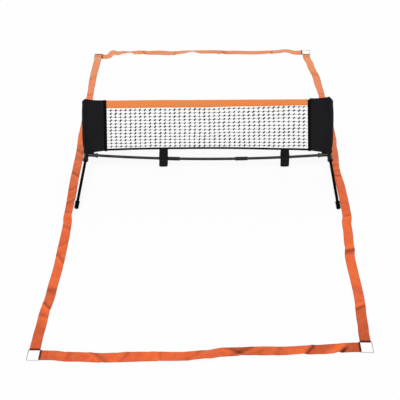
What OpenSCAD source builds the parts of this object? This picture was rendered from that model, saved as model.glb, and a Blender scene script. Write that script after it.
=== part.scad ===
// Portable soccer tennis set: a low net on a bowed pole frame, standing across a court
// outline of flat webbing that is joined at its corners by square wire rings.
// Millimetres, +Z up, floor at z = 0, +Y away from the player in front.

/* [Net frame] */
// Distance between the centres of the two corner hubs
hub_span = 1414; // [900:2:2400]
// Angle at which the crossbar leaves each hub, which sets its bow
bar_slope = 5.4; // [2:0.2:10]
// How far the net draws each upright's tip inwards
upright_lean = 39; // [5:1:80]
// How far the uprights' tips stay below the net's top edge
tip_drop = 12; // [0:1:30]
// Distance from a hub's centre to the end of its foot, along the leg
leg_reach = 362; // [200:2:500]
// Angle of the legs below level
leg_slope = 15; // [8:0.5:30]
// Angle by which the legs point outwards
leg_splay = 3.5; // [0:0.5:15]

/* [Poles] */
// Outside diameter of every pole
pole_d = 16; // [13:0.5:24]
// Wall of every pole
pole_wall = 2.5; // [1:0.25:3]
// Length of the crossbar's middle section
middle_len = 396; // [200:4:600]
// Length of a ferrule
ferrule_len = 72; // [40:2:120]
// Wall of a ferrule
ferrule_wall = 3; // [1:0.25:5]
// Room on each side of the elastic cord inside the crossbar
cord_play = 3.5; // [0.5:0.25:3.5]

/* [Hubs] */
// Wall of a hub's sockets for the crossbar and the upright
socket_wall = 2.75; // [2:0.25:8]
// Wall of a hub's leg sockets
leg_socket_wall = 6; // [3:0.25:10]
// How far the collar round each mouth stands out from its socket
collar_rise = 2.5; // [1:0.25:5]
// Length of a collar
collar_len = 12; // [6:1:16]
// Length of the crossbar socket, from the hub's centre to its mouth
bar_socket = 66; // [45:1:100]
// Length of a leg socket, from the hub's centre to its mouth
leg_socket = 44; // [42:1:80]
// Length of the upright's socket, from the hub's centre to its mouth
upright_socket = 30; // [26:1:60]
// Material between the ends of two poles that meet in a hub
pole_stop = 3.75; // [2:0.25:6]
// Thickness of the webs that stiffen a hub
web_t = 4; // [2:0.5:8]

/* [Feet and tips] */
// Wall of a rubber foot
foot_wall = 4; // [3:0.25:10]
// Length of a rubber foot
foot_len = 44; // [24:1:60]
// Rounding of a foot's end
foot_round = 3; // [1:0.5:6]
// How far the lip round a foot's mouth stands out
foot_lip = 1; // [0.5:0.25:3]
// Length of the cap on an upright's tip
tip_len = 16; // [12:1:30]
// Wall of that cap
tip_wall = 1.2; // [0.8:0.1:2]

/* [Net] */
// Height of the net at its ends
net_h = 357; // [250:1:700]
// Height of the net's bottom edge above the hub centres, at its ends
net_lift = 31; // [20:1:60]
// Height of the orange band along the top
band_h = 50; // [30:1:90]
// How far the bottom edge rises in the middle
hem_arch = 12; // [0:1:30]
// Height of the bottom hem
hem_h = 13; // [7:0.5:20]
// Gaps in the netting from side to side
net_columns = 27; // [10:1:30]
// Gaps in the netting from top to bottom
net_rows = 11; // [4:1:12]
// Thickness of the netting's twine
twine_t = 2; // [1:0.25:4]
// Thickness of one layer of the cloth that is sewn round the netting's top and bottom
cloth_layer = 0.65; // [0.4:0.05:1.5]

/* [End panels] */
// Distance from an upright's foot to the netting's bottom corner
panel_w = 125; // [100:1:250]
// How much further in the netting's top corner stands
panel_taper = 36; // [10:1:80]
// How far a panel's top corner stands above the net
panel_peak = 7; // [0:1:20]
// How far that corner lies in from the upright's tip
panel_corner = 9; // [4:1:30]
// Thickness of the doubled cloth of an end panel
panel_t = 3; // [2:0.5:6]
// Wall of the sleeve that holds the upright
sleeve_wall = 1.5; // [1:0.25:5]
// Width of the binding between the netting and an end panel
binding_w = 16; // [10:1:30]
// Thickness of one layer of binding cloth
binding_cloth = 1.2; // [0.6:0.1:2]
// Width of the level part of an end panel's bottom edge, over the hub
panel_foot_w = 46; // [30:1:90]
// How far that part hangs over the hub's collar
panel_foot_lap = 11; // [2:1:12]

/* [Straps] */
// Width of the two hook and loop straps
strap_w = 50; // [25:1:70]
// Thickness of a strap
strap_t = 1.5; // [1:0.25:3]
// Distance of the left strap from the left hub
strap_left_in = 450; // [160:5:480]
// Distance of the right strap from the right hub
strap_right_in = 255; // [160:5:300]
// How far up the hem the straps are sewn
strap_seam = 7; // [4:0.5:9]
// Height of the straps' loose ends above the floor
strap_end_z = 12; // [2:1:25]

/* [Court] */
// Room between the feet and the straight side tapes
court_room = 19; // [10:1:200]
// Length of the court, between the centres of its corner rings
court_l = 2498; // [1600:10:5000]
// Width of the webbing
tape_w = 49; // [25:1:60]
// Thickness of the webbing
tape_t = 1.6; // [1:0.1:3]
// Length of the sewn part of each end loop
loop_sewn = 34; // [20:1:40]
// Thickness of the wire of a corner ring
wire_d = 4; // [3:0.25:6]
// Radius of the wire's bends, to its centre line
ring_bend = 3; // [2.5:0.25:5]
// How far the net stands to the right of the court's middle
net_shift_x = 16; // [-40:1:40]
// How far the net stands behind the court's middle
net_shift_y = 17; // [-60:1:60]
// Turn of the net in the court, seen from above
net_turn = -0.4; // [-2:0.1:2]

/* [Hidden] */
// Clearances: a running fit, a push fit of soft parts, and cloth beside cloth
run_gap = 0.05;
soft_gap = 0.3;
cloth_gap = 0.05;
wire_gap = 0.2;
// How far a cut runs past the face that it opens
past = 1;
// Facets of round profiles and of long arcs
round_fn = 48;
arc_fn = 1440;

// Poles and their fittings
pole_bore = pole_d - 2 * pole_wall;
cord_d = pole_bore - 2 * cord_play;
cord_knot_len = 6;
socket_d = pole_d + 2 * socket_wall;
leg_socket_d = pole_d + 2 * leg_socket_wall;
collar_d = socket_d + 2 * collar_rise;
hub_ball_d = leg_socket_d + collar_rise;
socket_floor = pole_d / 2 + pole_stop;
foot_d = pole_d + 2 * foot_wall;
end_wall = 3;

// Hub height: the round edge of the tilted foot just meets the floor
hub_z = (leg_reach - foot_round) * sin(leg_slope)
      + (foot_d / 2 - foot_round) * cos(leg_slope) + foot_round;

// Crossbar: an arc through both hubs, whose straight sockets have room for its bend
half_span = hub_span / 2;
bar_r = half_span / sin(bar_slope);
bar_low_z = hub_z - bar_r * (1 - cos(bar_slope));
bar_plug = bar_socket - socket_floor;
bar_fit = run_gap + bar_plug ^ 2 / (8 * bar_r);

// Net: heights and half widths of its edges
net_bottom = hub_z + net_lift;
net_top = net_bottom + net_h;
net_half_bottom = half_span - panel_w;
net_half_top = net_half_bottom - panel_taper;
band_bottom = net_top - band_h;
seam_in = 6;
cloth_t = twine_t + 2 * (cloth_gap + cloth_layer);
groove_t = cloth_t + 2 * cloth_gap;
binding_t = max(groove_t, panel_t + 2 * cloth_gap) + 2 * binding_cloth;
binding_tail = 3;
hem_steps = 24;
edge_steps = 8;

// Uprights: an arc that leaves the hub straight up and ends just under the net's top edge
upright_rise = net_lift + net_h - tip_drop;
upright_r = (upright_rise ^ 2 + upright_lean ^ 2) / (2 * upright_lean);
upright_end = asin(upright_rise / upright_r);
upright_plug = upright_socket - socket_floor;
upright_fit = run_gap + upright_plug ^ 2 / (8 * upright_r);
sleeve_r = pole_d / 2 + soft_gap + sleeve_wall;
tip_r = pole_d / 2 + soft_gap + tip_wall;
dome_r = tip_r + soft_gap + sleeve_wall;
panel_foot_z = hub_z + upright_socket - panel_foot_lap;
// Where the slanting cut of a panel's corner touches the pocket
corner_turn = 60;

// Straps: the opening passes over a ferrule, and the layers meet below it
strap_open = pole_d / 2 + run_gap + ferrule_wall + soft_gap;
strap_pinch = 2 * strap_open;
strap_depth = 2 * (strap_open + strap_t);
strap_round = 9;

// Court: the height of the rings, the size of their loops and the lie of each piece
loop_ri = wire_d / 2 + wire_gap;
loop_ro = loop_ri + tape_t;
loop_neck = 12;
ring_half = tape_w / 2 + loop_ro + soft_gap;
tape_steps = 48;
foot_out = leg_reach * cos(leg_slope) * sin(leg_splay) + foot_d / 2;
court_w = 2 * (half_span + foot_out + court_room + tape_w / 2);
// Where the side tapes pass the feet: the feet's distance from the net, how far along the tape
// they matter, and how near to the net's middle the tape may lie there, with the legs drawn out
foot_y = (leg_reach - foot_len / 2) * cos(leg_slope);
foot_zone = foot_len + court_l / tape_steps;
leg_travel = 30;
travel_out = leg_travel * cos(leg_slope) * sin(leg_splay);
tape_clear_x = half_span + foot_out + travel_out + tape_w / 2 + soft_gap;
// How far each corner is laid off the true rectangle: front left, front right, back left, back right
lay = [[9, -23], [-34, 21], [1, -11], [-62, 21]];
// Sideways bow of each tape as it is laid: share of its length, then millimetres
front_bow = [[0, 0], [0.08, -12], [0.2, -22], [0.34, -21], [0.44, -26], [0.52, -20], [0.58, -8],
             [0.7, -7], [0.78, -11], [0.88, -7], [1, 0]];
back_bow = [[0, 0], [0.05, 20], [0.1, 40], [0.17, 48], [0.25, 40], [0.34, 28], [0.44, 38],
            [0.54, 34], [0.66, 20], [0.78, 10], [0.9, 12], [1, 0]];
left_bow = [[0, 0], [0.06, -6], [0.12, -20], [0.2, -29], [0.3, -30], [0.38, -22], [0.47, -16],
            [0.56, -16], [0.64, -8], [0.8, -3], [0.9, 4], [1, 0]];
right_bow = [[0, 0], [0.1, -14], [0.2, -9], [0.27, -23], [0.35, -42], [0.42, -43], [0.49, -33],
             [0.56, -45], [0.66, -54], [0.78, -46], [0.88, -39], [0.96, -15], [1, 0]];

// ---------------------------------------------------------------- placing

// Stands a piece of the net frame where the net stands in the court
module at_net() {
    translate([net_shift_x, net_shift_y, 0]) rotate([0, 0, net_turn]) children();
}

// side is -1 for the left of the net and 1 for the right; the piece is drawn for the right
module on_side(side) {
    mirror([side < 0 ? 1 : 0, 0, 0]) children();
}

// Moves a piece from the hub's centre to the right-hand hub
module at_hub() {
    translate([half_span, 0, hub_z]) children();
}

// Turns +Z to run along a leg: front legs point to -Y, rear legs to +Y
module along_leg(front) {
    rotate([0, 0, front ? leg_splay : -leg_splay])
        rotate([front ? 90 + leg_slope : -90 - leg_slope, 0, 0]) children();
}

// ---------------------------------------------------------------- curved poles

// The angle, at the centre of an arc, of a length along it, and the length of an angle
function arc_angle(length, radius) = length / radius * 180 / PI;
function arc_length(angle, radius) = angle * radius * PI / 180;

// Part of a ring in the XZ plane about its own centre, from one angle to another
module arc_of(radius, from, to) {
    rotate([90, 0, 0]) rotate([0, 0, from])
        rotate_extrude(angle = to - from, $fn = arc_fn)
            translate([radius, 0]) children();
}

module annulus(outer, inner) {
    difference() {
        circle(d = outer, $fn = round_fn);
        circle(d = inner, $fn = round_fn);
    }
}

// Along the crossbar, between two lengths from its lowest point
module bar_arc(from, to) {
    translate([0, 0, bar_low_z + bar_r])
        arc_of(bar_r, arc_angle(from, bar_r) - 90, arc_angle(to, bar_r) - 90) children();
}

// Along the right-hand upright, between two lengths from the hub's centre
module upright_arc(from, to) {
    translate([half_span - upright_r, 0, hub_z])
        arc_of(upright_r, arc_angle(from, upright_r), arc_angle(to, upright_r)) children();
}

// Lengths of the two arcs from a hub's centre to the crossbar's middle and to an upright's end
half_bar = arc_length(bar_slope, bar_r);
upright_len = arc_length(upright_end, upright_r);

// Turns +Z to run along the crossbar from the right-hand hub, true to the middle of its plug
module along_bar() {
    middle = socket_floor + bar_plug / 2;
    turn = bar_slope - arc_angle(middle, bar_r);
    translate([bar_r * sin(turn), 0, bar_low_z + bar_r * (1 - cos(turn))])
        rotate([0, -90 - turn, 0]) translate([0, 0, -middle]) children();
}

// Turns +Z to run up the right-hand upright from the hub, true to the middle of its plug
module along_upright() {
    middle = socket_floor + upright_plug / 2;
    turn = arc_angle(middle, upright_r);
    translate([half_span - upright_r * (1 - cos(turn)), 0, hub_z + upright_r * sin(turn)])
        rotate([0, -turn, 0]) translate([0, 0, -middle]) children();
}

// The frame of the right-hand upright's end: +Z runs on along the pole
module at_upright_end() {
    translate([half_span - upright_r, 0, hub_z]) rotate([0, -upright_end, 0])
        translate([upright_r, 0, 0]) children();
}

module tube(length, outer, inner) {
    difference() {
        cylinder(h = length, d = outer, $fn = round_fn);
        translate([0, 0, -past]) cylinder(h = length + 2 * past, d = inner, $fn = round_fn);
    }
}

// ---------------------------------------------------------------- hubs

// A socket with its collar, whose edges are eased
module socket(length, d) {
    ease = 1.5;
    r = d / 2;
    rim_r = r + collar_rise;
    rotate_extrude($fn = round_fn)
        polygon([[0, 0], [r, 0], [r, length - collar_len - ease], [rim_r, length - collar_len + ease],
                 [rim_r, length - ease], [rim_r - ease, length], [0, length]]);
}

// A socket's bore, whose floor leaves room for the slight tilt of a bent pole's end
module socket_bore(length, fit) {
    translate([0, 0, socket_floor - run_gap])
        cylinder(h = length, d = pole_d + 2 * fit, $fn = round_fn);
}

// A flat web that fills the corner between two sockets: +Z along one, +X along the other
module web(reach_z, reach_x) {
    tip = socket_d / 3;
    rotate([90, 0, 0]) linear_extrude(web_t, center = true)
        polygon([[0, 0], [reach_x, 0], [reach_x, tip], [tip, reach_z], [0, reach_z]]);
}

// A moulded corner: four sockets round a ball, stiffened by webs, drawn for the right-hand hub
module hub() {
    web_z = upright_socket - collar_len - past;
    difference() {
        union() {
            at_hub() sphere(d = hub_ball_d, $fn = round_fn);
            along_upright() socket(upright_socket, socket_d);
            along_bar() socket(bar_socket, socket_d);
            at_hub() {
                for (front = [true, false]) along_leg(front) socket(leg_socket, leg_socket_d);
                mirror([1, 0, 0]) web(web_z, bar_socket - 2 * collar_len);
                for (turn = [-90, 90])
                    rotate([0, 0, turn]) web(web_z, leg_socket - collar_len - past);
            }
        }
        along_upright() socket_bore(upright_socket, upright_fit);
        along_bar() socket_bore(bar_socket, bar_fit);
        at_hub() for (front = [true, false]) along_leg(front) socket_bore(leg_socket, run_gap);
    }
}

module hub_at(side) {
    color("#17171a") at_net() on_side(side) hub();
}

// ---------------------------------------------------------------- legs and feet

module leg(side, front) {
    color("#1c1c1f") at_net() on_side(side) at_hub() along_leg(front)
        translate([0, 0, socket_floor])
            tube(leg_reach - end_wall - socket_floor, pole_d, pole_bore);
}

// A straight rubber cap with a lip round its mouth and an eased end
module foot(side, front) {
    lip_len = 4;
    r = foot_d / 2;
    lip_r = r + foot_lip;
    straight = foot_len - foot_round;
    color("#101012") at_net() on_side(side) at_hub() along_leg(front)
        translate([0, 0, leg_reach - foot_len])
            difference() {
                rotate_extrude($fn = round_fn) {
                    polygon([[0, 0], [r, 0], [lip_r, foot_lip], [lip_r, lip_len - foot_lip],
                             [r, lip_len], [r, straight], [0, straight]]);
                    square([r - foot_round, foot_len]);
                    intersection() {
                        translate([r - foot_round, straight]) circle(foot_round, $fn = round_fn);
                        square([r, foot_len]);
                    }
                }
                translate([0, 0, -past])
                    cylinder(h = foot_len + past - end_wall, d = pole_d, $fn = round_fn);
            }
}

// ---------------------------------------------------------------- crossbar

module outer_section(side) {
    color("#1c1c1f") at_net() on_side(side)
        bar_arc(middle_len / 2, half_bar - socket_floor) annulus(pole_d, pole_bore);
}

module crossbar_middle() {
    color("#1c1c1f") at_net()
        bar_arc(-middle_len / 2, middle_len / 2) annulus(pole_d, pole_bore);
}

module ferrule(side) {
    color("#26262a") at_net() on_side(side)
        bar_arc((middle_len - ferrule_len) / 2, (middle_len + ferrule_len) / 2)
            annulus(pole_d + 2 * (run_gap + ferrule_wall), pole_d + 2 * run_gap);
}

// The cord that keeps the sections together, knotted inside each end
module shock_cord() {
    end = half_bar - socket_floor;
    color("#e8e6e0") at_net() {
        bar_arc(-end, end) circle(d = cord_d, $fn = round_fn);
        for (side = [-1, 1]) on_side(side)
            bar_arc(end - cord_knot_len, end) circle(d = pole_bore - 2 * run_gap, $fn = round_fn);
    }
}

// ---------------------------------------------------------------- uprights

module upright(side) {
    color("#1c1c1f") at_net() on_side(side)
        upright_arc(socket_floor, upright_len) annulus(pole_d, pole_bore);
}

// The rounded cap on an upright's tip, reaching down over the pole
module tip_cap() {
    skirt = tip_len - tip_r;
    difference() {
        union() {
            translate([0, 0, end_wall]) sphere(tip_r, $fn = round_fn);
            translate([0, 0, -skirt]) cylinder(h = skirt + end_wall, r = tip_r, $fn = round_fn);
        }
        translate([0, 0, -tip_len])
            cylinder(h = tip_len, d = pole_d + 2 * soft_gap, $fn = round_fn);
    }
}

module tip(side) {
    color("#101012") at_net() on_side(side) at_upright_end() tip_cap();
}

// ---------------------------------------------------------------- net

// Height of the net's bottom edge at a distance from the net's middle
function hem_z(x) = net_bottom + hem_arch * (1 - (x / net_half_bottom) ^ 2);

// Half width of the netting at a height
function net_half(z) =
    net_half_top + (net_half_bottom - net_half_top) * (net_top - z) / (net_top - net_bottom);

// A point of the netting: u runs from -1 to 1 across it, v from 0 at the top to 1 at the bottom
function net_point(u, v) =
    let (low = hem_z(u * net_half_bottom) + hem_h - seam_in,
         high = band_bottom + seam_in,
         z = high + (low - high) * v)
    [u * (net_half(z) + seam_in), z];

// The rim of the netting's outline
function net_rim() = concat(
    [for (i = [0:net_columns]) net_point(2 * i / net_columns - 1, 0)],
    [for (i = [net_columns:-1:0]) net_point(2 * i / net_columns - 1, 1)]);

// The four corners of one gap, half a twine in from the grid
function net_gap(i, j) =
    [for (c = [[0, 0], [1, 0], [1, 1], [0, 1]])
        net_point(2 * (i + c.x) / net_columns - 1, (j + c.y) / net_rows)
        + [1 - 2 * c.x, 2 * c.y - 1] * twine_t / 2];

// Stands an outline drawn in X and Z upright, with a thickness along Y
module upright_sheet(thickness) {
    rotate([90, 0, 0]) linear_extrude(thickness, center = true) children();
}

module net_mesh() {
    color("#2b2b2e") at_net() upright_sheet(twine_t)
        difference() {
            polygon(net_rim());
            for (i = [0:net_columns - 1]) for (j = [0:net_rows - 1]) polygon(net_gap(i, j));
        }
}

// A band of cloth folded over the netting's top edge
module top_band() {
    color("#f0883c") at_net() difference() {
        upright_sheet(cloth_t)
            polygon([[-net_half(net_top) - seam_in, net_top], [net_half(net_top) + seam_in, net_top],
                     [net_half(band_bottom) + seam_in, band_bottom],
                     [-net_half(band_bottom) - seam_in, band_bottom]]);
        upright_sheet(twine_t + 2 * cloth_gap)
            translate([-half_span, band_bottom - past])
                square([hub_span, past + seam_in + cloth_gap]);
    }
}

// The outline of a strip that follows the arched bottom edge
function hem_strip(low, high, half) = concat(
    [for (i = [0:hem_steps]) let (x = half * (2 * i / hem_steps - 1)) [x, hem_z(x) + low]],
    [for (i = [hem_steps:-1:0]) let (x = half * (2 * i / hem_steps - 1)) [x, hem_z(x) + high]]);

module bottom_hem() {
    half = net_half(net_bottom + hem_h) + seam_in;
    color("#121214") at_net() difference() {
        upright_sheet(cloth_t) polygon(hem_strip(0, hem_h, half));
        upright_sheet(twine_t + 2 * cloth_gap)
            polygon(hem_strip(hem_h - seam_in - cloth_gap, hem_h + past, half + past));
    }
}

// ---------------------------------------------------------------- end panels

// A slanted strip beside the netting's edge, between two distances from that edge
module edge_strip(from, to, low, high) {
    polygon([[net_half(high) + from, high], [net_half(high) + to, high],
             [net_half(low) + to, low], [net_half(low) + from, low]]);
}

// Cloth tape folded over the netting's edge on one side and over the panel's edge on the other
module binding(side) {
    low = net_bottom - binding_tail;
    high = net_top + binding_cloth;
    panel_side = binding_w - seam_in;
    color("#0d0d0f") at_net() on_side(side) difference() {
        upright_sheet(binding_t) edge_strip(0, binding_w, low, high);
        upright_sheet(groove_t)
            edge_strip(-past, seam_in + cloth_gap, low - past, high - binding_cloth);
        upright_sheet(panel_t + 2 * cloth_gap)
            edge_strip(panel_side - cloth_gap, binding_w + past, low - past, high + past);
    }
}

// The upright's centre line at a share of the way from its socket's mouth to its end
function upright_point(share) =
    let (start = arc_angle(upright_socket, upright_r), a = start + (upright_end - start) * share)
    [half_span - upright_r * (1 - cos(a)), hub_z + upright_r * sin(a)];

// The sheet of a panel, from its binding to the upright's centre line
module panel_sheet() {
    inner = binding_w - seam_in;
    dome = upright_point(1) + end_wall * [-sin(upright_end), cos(upright_end)];
    polygon(concat(
        [[net_half(net_top) + inner, net_top], [net_half(net_bottom) + inner, net_bottom],
         [half_span - panel_foot_w, panel_foot_z], [half_span, panel_foot_z]],
        [for (i = [0:edge_steps]) upright_point(i / edge_steps)],
        [dome + (dome_r - sleeve_wall / 2) * [cos(corner_turn), sin(corner_turn)],
         [dome.x - panel_corner, net_top + panel_peak]]));
}

// The rounded pocket at a panel's top corner, or the room inside it, down to below the cap
module tip_pocket(radius, below) {
    translate([0, 0, end_wall]) sphere(radius, $fn = round_fn);
    translate([0, 0, -tip_len - below])
        cylinder(h = tip_len + below + end_wall, r = radius, $fn = round_fn);
}

module end_panel(side) {
    color("#19191e") at_net() on_side(side) difference() {
        union() {
            upright_sheet(panel_t) panel_sheet();
            upright_arc(upright_socket + soft_gap, upright_len) circle(sleeve_r, $fn = round_fn);
            at_upright_end() tip_pocket(dome_r, soft_gap + sleeve_wall);
        }
        upright_arc(upright_socket, upright_len) circle(d = pole_d + 2 * soft_gap, $fn = round_fn);
        along_upright()
            cylinder(h = upright_socket + soft_gap, d = collar_d + 2 * soft_gap, $fn = round_fn);
        at_upright_end() tip_pocket(tip_r + soft_gap, soft_gap);
    }
}

// ---------------------------------------------------------------- straps

// A strap seen from its side: sewn to both faces of the hem, round the bar, then pressed flat
module strap_profile(hem_low, bar_z) {
    seam_y = cloth_t / 2 + cloth_gap;
    inner = [[seam_y, hem_low + strap_seam], [seam_y, hem_low], [strap_open, bar_z + strap_open],
             [strap_open, bar_z - strap_open / 2], [0, bar_z - strap_pinch]];
    outer = [[seam_y + strap_t, hem_low + strap_seam], [seam_y + strap_t, hem_low],
             [strap_open + strap_t, bar_z + strap_open],
             [strap_open + strap_t, bar_z - strap_open / 2],
             [strap_t, bar_z - strap_pinch - strap_t], [strap_t, strap_end_z]];
    turned = [for (p = outer) [-p.x, p.y]];
    polygon(concat(outer, [for (i = [len(outer) - 1:-1:0]) turned[i]],
                   [for (p = inner) [-p.x, p.y]], [for (i = [len(inner) - 2:-1:0]) inner[i]]));
}

// Height of the crossbar's centre line at a distance from the net's middle
function bar_z(x) = bar_low_z + bar_r - sqrt(bar_r ^ 2 - x ^ 2);

module strap(x) {
    color("#151517") at_net() translate([x, 0, 0]) intersection() {
        rotate([90, 0, 90]) linear_extrude(strap_w, center = true)
            strap_profile(hem_z(x), bar_z(x));
        upright_sheet(strap_depth + 2 * past) {
            translate([-strap_w / 2, strap_end_z + strap_round]) square([strap_w, net_bottom]);
            translate([strap_round - strap_w / 2, strap_end_z])
                square([strap_w - 2 * strap_round, net_bottom]);
            for (s = [-1, 1]) translate([s * (strap_w / 2 - strap_round), strap_end_z + strap_round])
                circle(strap_round, $fn = round_fn);
        }
    }
}

// ---------------------------------------------------------------- court

// Centre of a corner ring, by its number in the list of lays
function corner(n) = [(n % 2 == 0 ? -1 : 1) * court_w / 2, (n < 2 ? -1 : 1) * court_l / 2] + lay[n];

// A square wire ring with bent corners, lying level in the loops that hold it
module ring(n) {
    straight = ring_half - ring_bend;
    color("#8f9296") translate([corner(n).x, corner(n).y, loop_ro]) for (turn = [0:90:270])
        rotate([0, 0, turn]) {
            translate([ring_half, 0, 0]) rotate([90, 0, 0])
                cylinder(h = 2 * straight, d = wire_d, center = true, $fn = round_fn);
            translate([straight, straight, 0]) rotate_extrude(angle = 90, $fn = round_fn)
                translate([ring_bend, 0]) circle(d = wire_d, $fn = round_fn);
        }
}

// Smooth value through a list of [share, bow] pairs: a cosine step between neighbours
function bow_at(list, s, i = 0) =
    i >= len(list) - 2 || s <= list[i + 1][0]
    ? let (share = (s - list[i][0]) / (list[i + 1][0] - list[i][0]))
      list[i][1] + (list[i + 1][1] - list[i][1]) * (1 - cos(180 * share)) / 2
    : bow_at(list, s, i + 1);

// A point of a tape's centre line between two places
function lie(from, to, bow, s) =
    let (along = to - from, across = [-along.y, along.x] / norm(along))
    clear_of_feet(from + along * s + across * bow_at(bow, s));

// A point turned about the origin
function turn_by(p, angle) =
    [p.x * cos(angle) - p.y * sin(angle), p.x * sin(angle) + p.y * cos(angle)];

// Moves a point that would bring a side tape against a foot out to where it lies clear
function clear_of_feet(p) =
    let (shift = [net_shift_x, net_shift_y], q = turn_by(p - shift, -net_turn))
    abs(abs(q.y) - foot_y) < foot_zone
    ? turn_by([sign(q.x) * max(abs(q.x), tape_clear_x), q.y], net_turn) + shift
    : p;

// The outline of a tape: both edges, square to its centre line
function tape_outline(from, to, bow) =
    let (step = 1 / tape_steps,
         mid = [for (i = [0:tape_steps]) lie(from, to, bow, i * step)],
         side = [for (i = [0:tape_steps])
                 let (d = mid[min(i + 1, tape_steps)] - mid[max(i - 1, 0)])
                 [-d.y, d.x] / norm(d) * tape_w / 2])
    concat([for (i = [0:tape_steps]) mid[i] + side[i]],
           [for (i = [tape_steps:-1:0]) mid[i] - side[i]]);

// The loop at a tape's end, round a ring's bar at the origin, with the tape running to +X
module end_loop() {
    rotate([90, 0, 0]) linear_extrude(tape_w - 2 * cloth_gap, center = true) difference() {
        union() {
            translate([0, loop_ro]) circle(loop_ro, $fn = round_fn);
            polygon([[0, 0], [loop_sewn, 0], [loop_sewn, 2 * tape_t], [loop_neck, 2 * tape_t],
                     [0, 2 * loop_ro]]);
        }
        translate([0, loop_ro]) circle(loop_ri, $fn = round_fn);
        polygon([[0, tape_t], [loop_neck - tape_t, tape_t], [0, 2 * loop_ro - tape_t]]);
    }
}

// A tape between two ring bars, given by their centres and the way the tape leaves each
module tape(bar_a, way_a, bar_b, way_b, bow) {
    sewn_a = bar_a + loop_sewn * [cos(way_a), sin(way_a)];
    sewn_b = bar_b + loop_sewn * [cos(way_b), sin(way_b)];
    color("#e0602c") {
        linear_extrude(tape_t) polygon(tape_outline(sewn_a, sewn_b, bow));
        translate(bar_a) rotate([0, 0, way_a]) end_loop();
        translate(bar_b) rotate([0, 0, way_b]) end_loop();
    }
}

// Centre of one bar of a ring, by the direction in which it lies from the ring's centre
function bar_of(n, way) = corner(n) + ring_half * [cos(way), sin(way)];

module tape_front() { tape(bar_of(0, 0), 0, bar_of(1, 180), 180, front_bow); }
module tape_back() { tape(bar_of(2, 0), 0, bar_of(3, 180), 180, back_bow); }
module tape_left() { tape(bar_of(0, 90), 90, bar_of(2, 90), 270, left_bow); }
module tape_right() { tape(bar_of(1, 90), 90, bar_of(3, 270), 270, right_bow); }

// ---------------------------------------------------------------- drawing

hub_at(-1);  // hub_left
hub_at(1);  // hub_right
leg(-1, true);  // leg_front_left
leg(1, true);  // leg_front_right
leg(-1, false);  // leg_rear_left
leg(1, false);  // leg_rear_right
foot(-1, true);  // foot_front_left
foot(1, true);  // foot_front_right
foot(-1, false);  // foot_rear_left
foot(1, false);  // foot_rear_right
outer_section(-1);  // crossbar_left
crossbar_middle();
outer_section(1);  // crossbar_right
ferrule(-1);  // ferrule_left
ferrule(1);  // ferrule_right
shock_cord();
upright(-1);  // upright_left
upright(1);  // upright_right
tip(-1);  // tip_left
tip(1);  // tip_right
end_panel(-1);  // end_panel_left
end_panel(1);  // end_panel_right
binding(-1);  // binding_left
binding(1);  // binding_right
top_band();
net_mesh();
bottom_hem();
strap(strap_left_in - half_span);  // strap_left
strap(half_span - strap_right_in);  // strap_right
tape_front();
tape_back();
tape_left();
tape_right();
ring(0);  // ring_front_left
ring(1);  // ring_front_right
ring(2);  // ring_back_left
ring(3);  // ring_back_right
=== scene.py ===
"""Dresses a portable soccer tennis set: a low net on a bowed pole frame, standing across a court
outline of flat webbing whose corners are joined by square wire rings. Metres, +Z up."""
from math import acos, asin, copysign, cos, exp, hypot, pi, radians, sin, sqrt

import bpy
import numpy as np
from mathutils import Matrix, Vector, noise


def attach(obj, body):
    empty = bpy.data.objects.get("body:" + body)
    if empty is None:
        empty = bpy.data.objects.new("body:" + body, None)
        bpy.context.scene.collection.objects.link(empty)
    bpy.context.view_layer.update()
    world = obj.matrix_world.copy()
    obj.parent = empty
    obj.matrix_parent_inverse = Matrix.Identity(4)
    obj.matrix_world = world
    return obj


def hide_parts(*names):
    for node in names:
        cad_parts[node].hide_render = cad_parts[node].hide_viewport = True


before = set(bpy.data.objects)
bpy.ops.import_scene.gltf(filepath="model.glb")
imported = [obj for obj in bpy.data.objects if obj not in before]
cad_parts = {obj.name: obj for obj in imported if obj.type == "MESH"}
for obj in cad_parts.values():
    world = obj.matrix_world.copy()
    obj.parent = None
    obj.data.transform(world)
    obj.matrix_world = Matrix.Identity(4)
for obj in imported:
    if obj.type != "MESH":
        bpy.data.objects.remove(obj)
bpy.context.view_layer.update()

MM = 0.001


def new_object(name, data):
    """An object of a mesh, a camera or a lamp, linked to the scene."""
    item = bpy.data.objects.new(name, data)
    bpy.context.scene.collection.objects.link(item)
    return item


# ---------------------------------------------------------------- camera

CAMERA_PLACE = Vector((0.0569, -2.9715, 2.6470))
CAMERA_PITCH = radians(44.24)  # below level
CAMERA_YAW = radians(-1.73)
CAMERA_ROLL = radians(1.43)
CAMERA_LENS, SENSOR_WIDTH = 60.47, 36  # millimetres
CAMERA_FAR = 100


def add_camera():
    ahead = Vector((sin(CAMERA_YAW) * cos(CAMERA_PITCH), cos(CAMERA_YAW) * cos(CAMERA_PITCH),
                    -sin(CAMERA_PITCH)))
    level = Vector((cos(CAMERA_YAW), -sin(CAMERA_YAW), 0))
    down = ahead.cross(level)
    right = cos(CAMERA_ROLL) * level + sin(CAMERA_ROLL) * down
    up = sin(CAMERA_ROLL) * level - cos(CAMERA_ROLL) * down
    data = bpy.data.cameras.new("camera")
    data.sensor_fit = "HORIZONTAL"
    data.sensor_width = SENSOR_WIDTH
    data.lens = CAMERA_LENS
    data.clip_end = CAMERA_FAR
    camera = new_object("camera", data)
    turn = Matrix((right, up, -ahead)).transposed().to_4x4()
    camera.matrix_world = Matrix.Translation(CAMERA_PLACE) @ turn
    bpy.context.scene.camera = camera


# ---------------------------------------------------------------- sizes, as the solids have them

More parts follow.
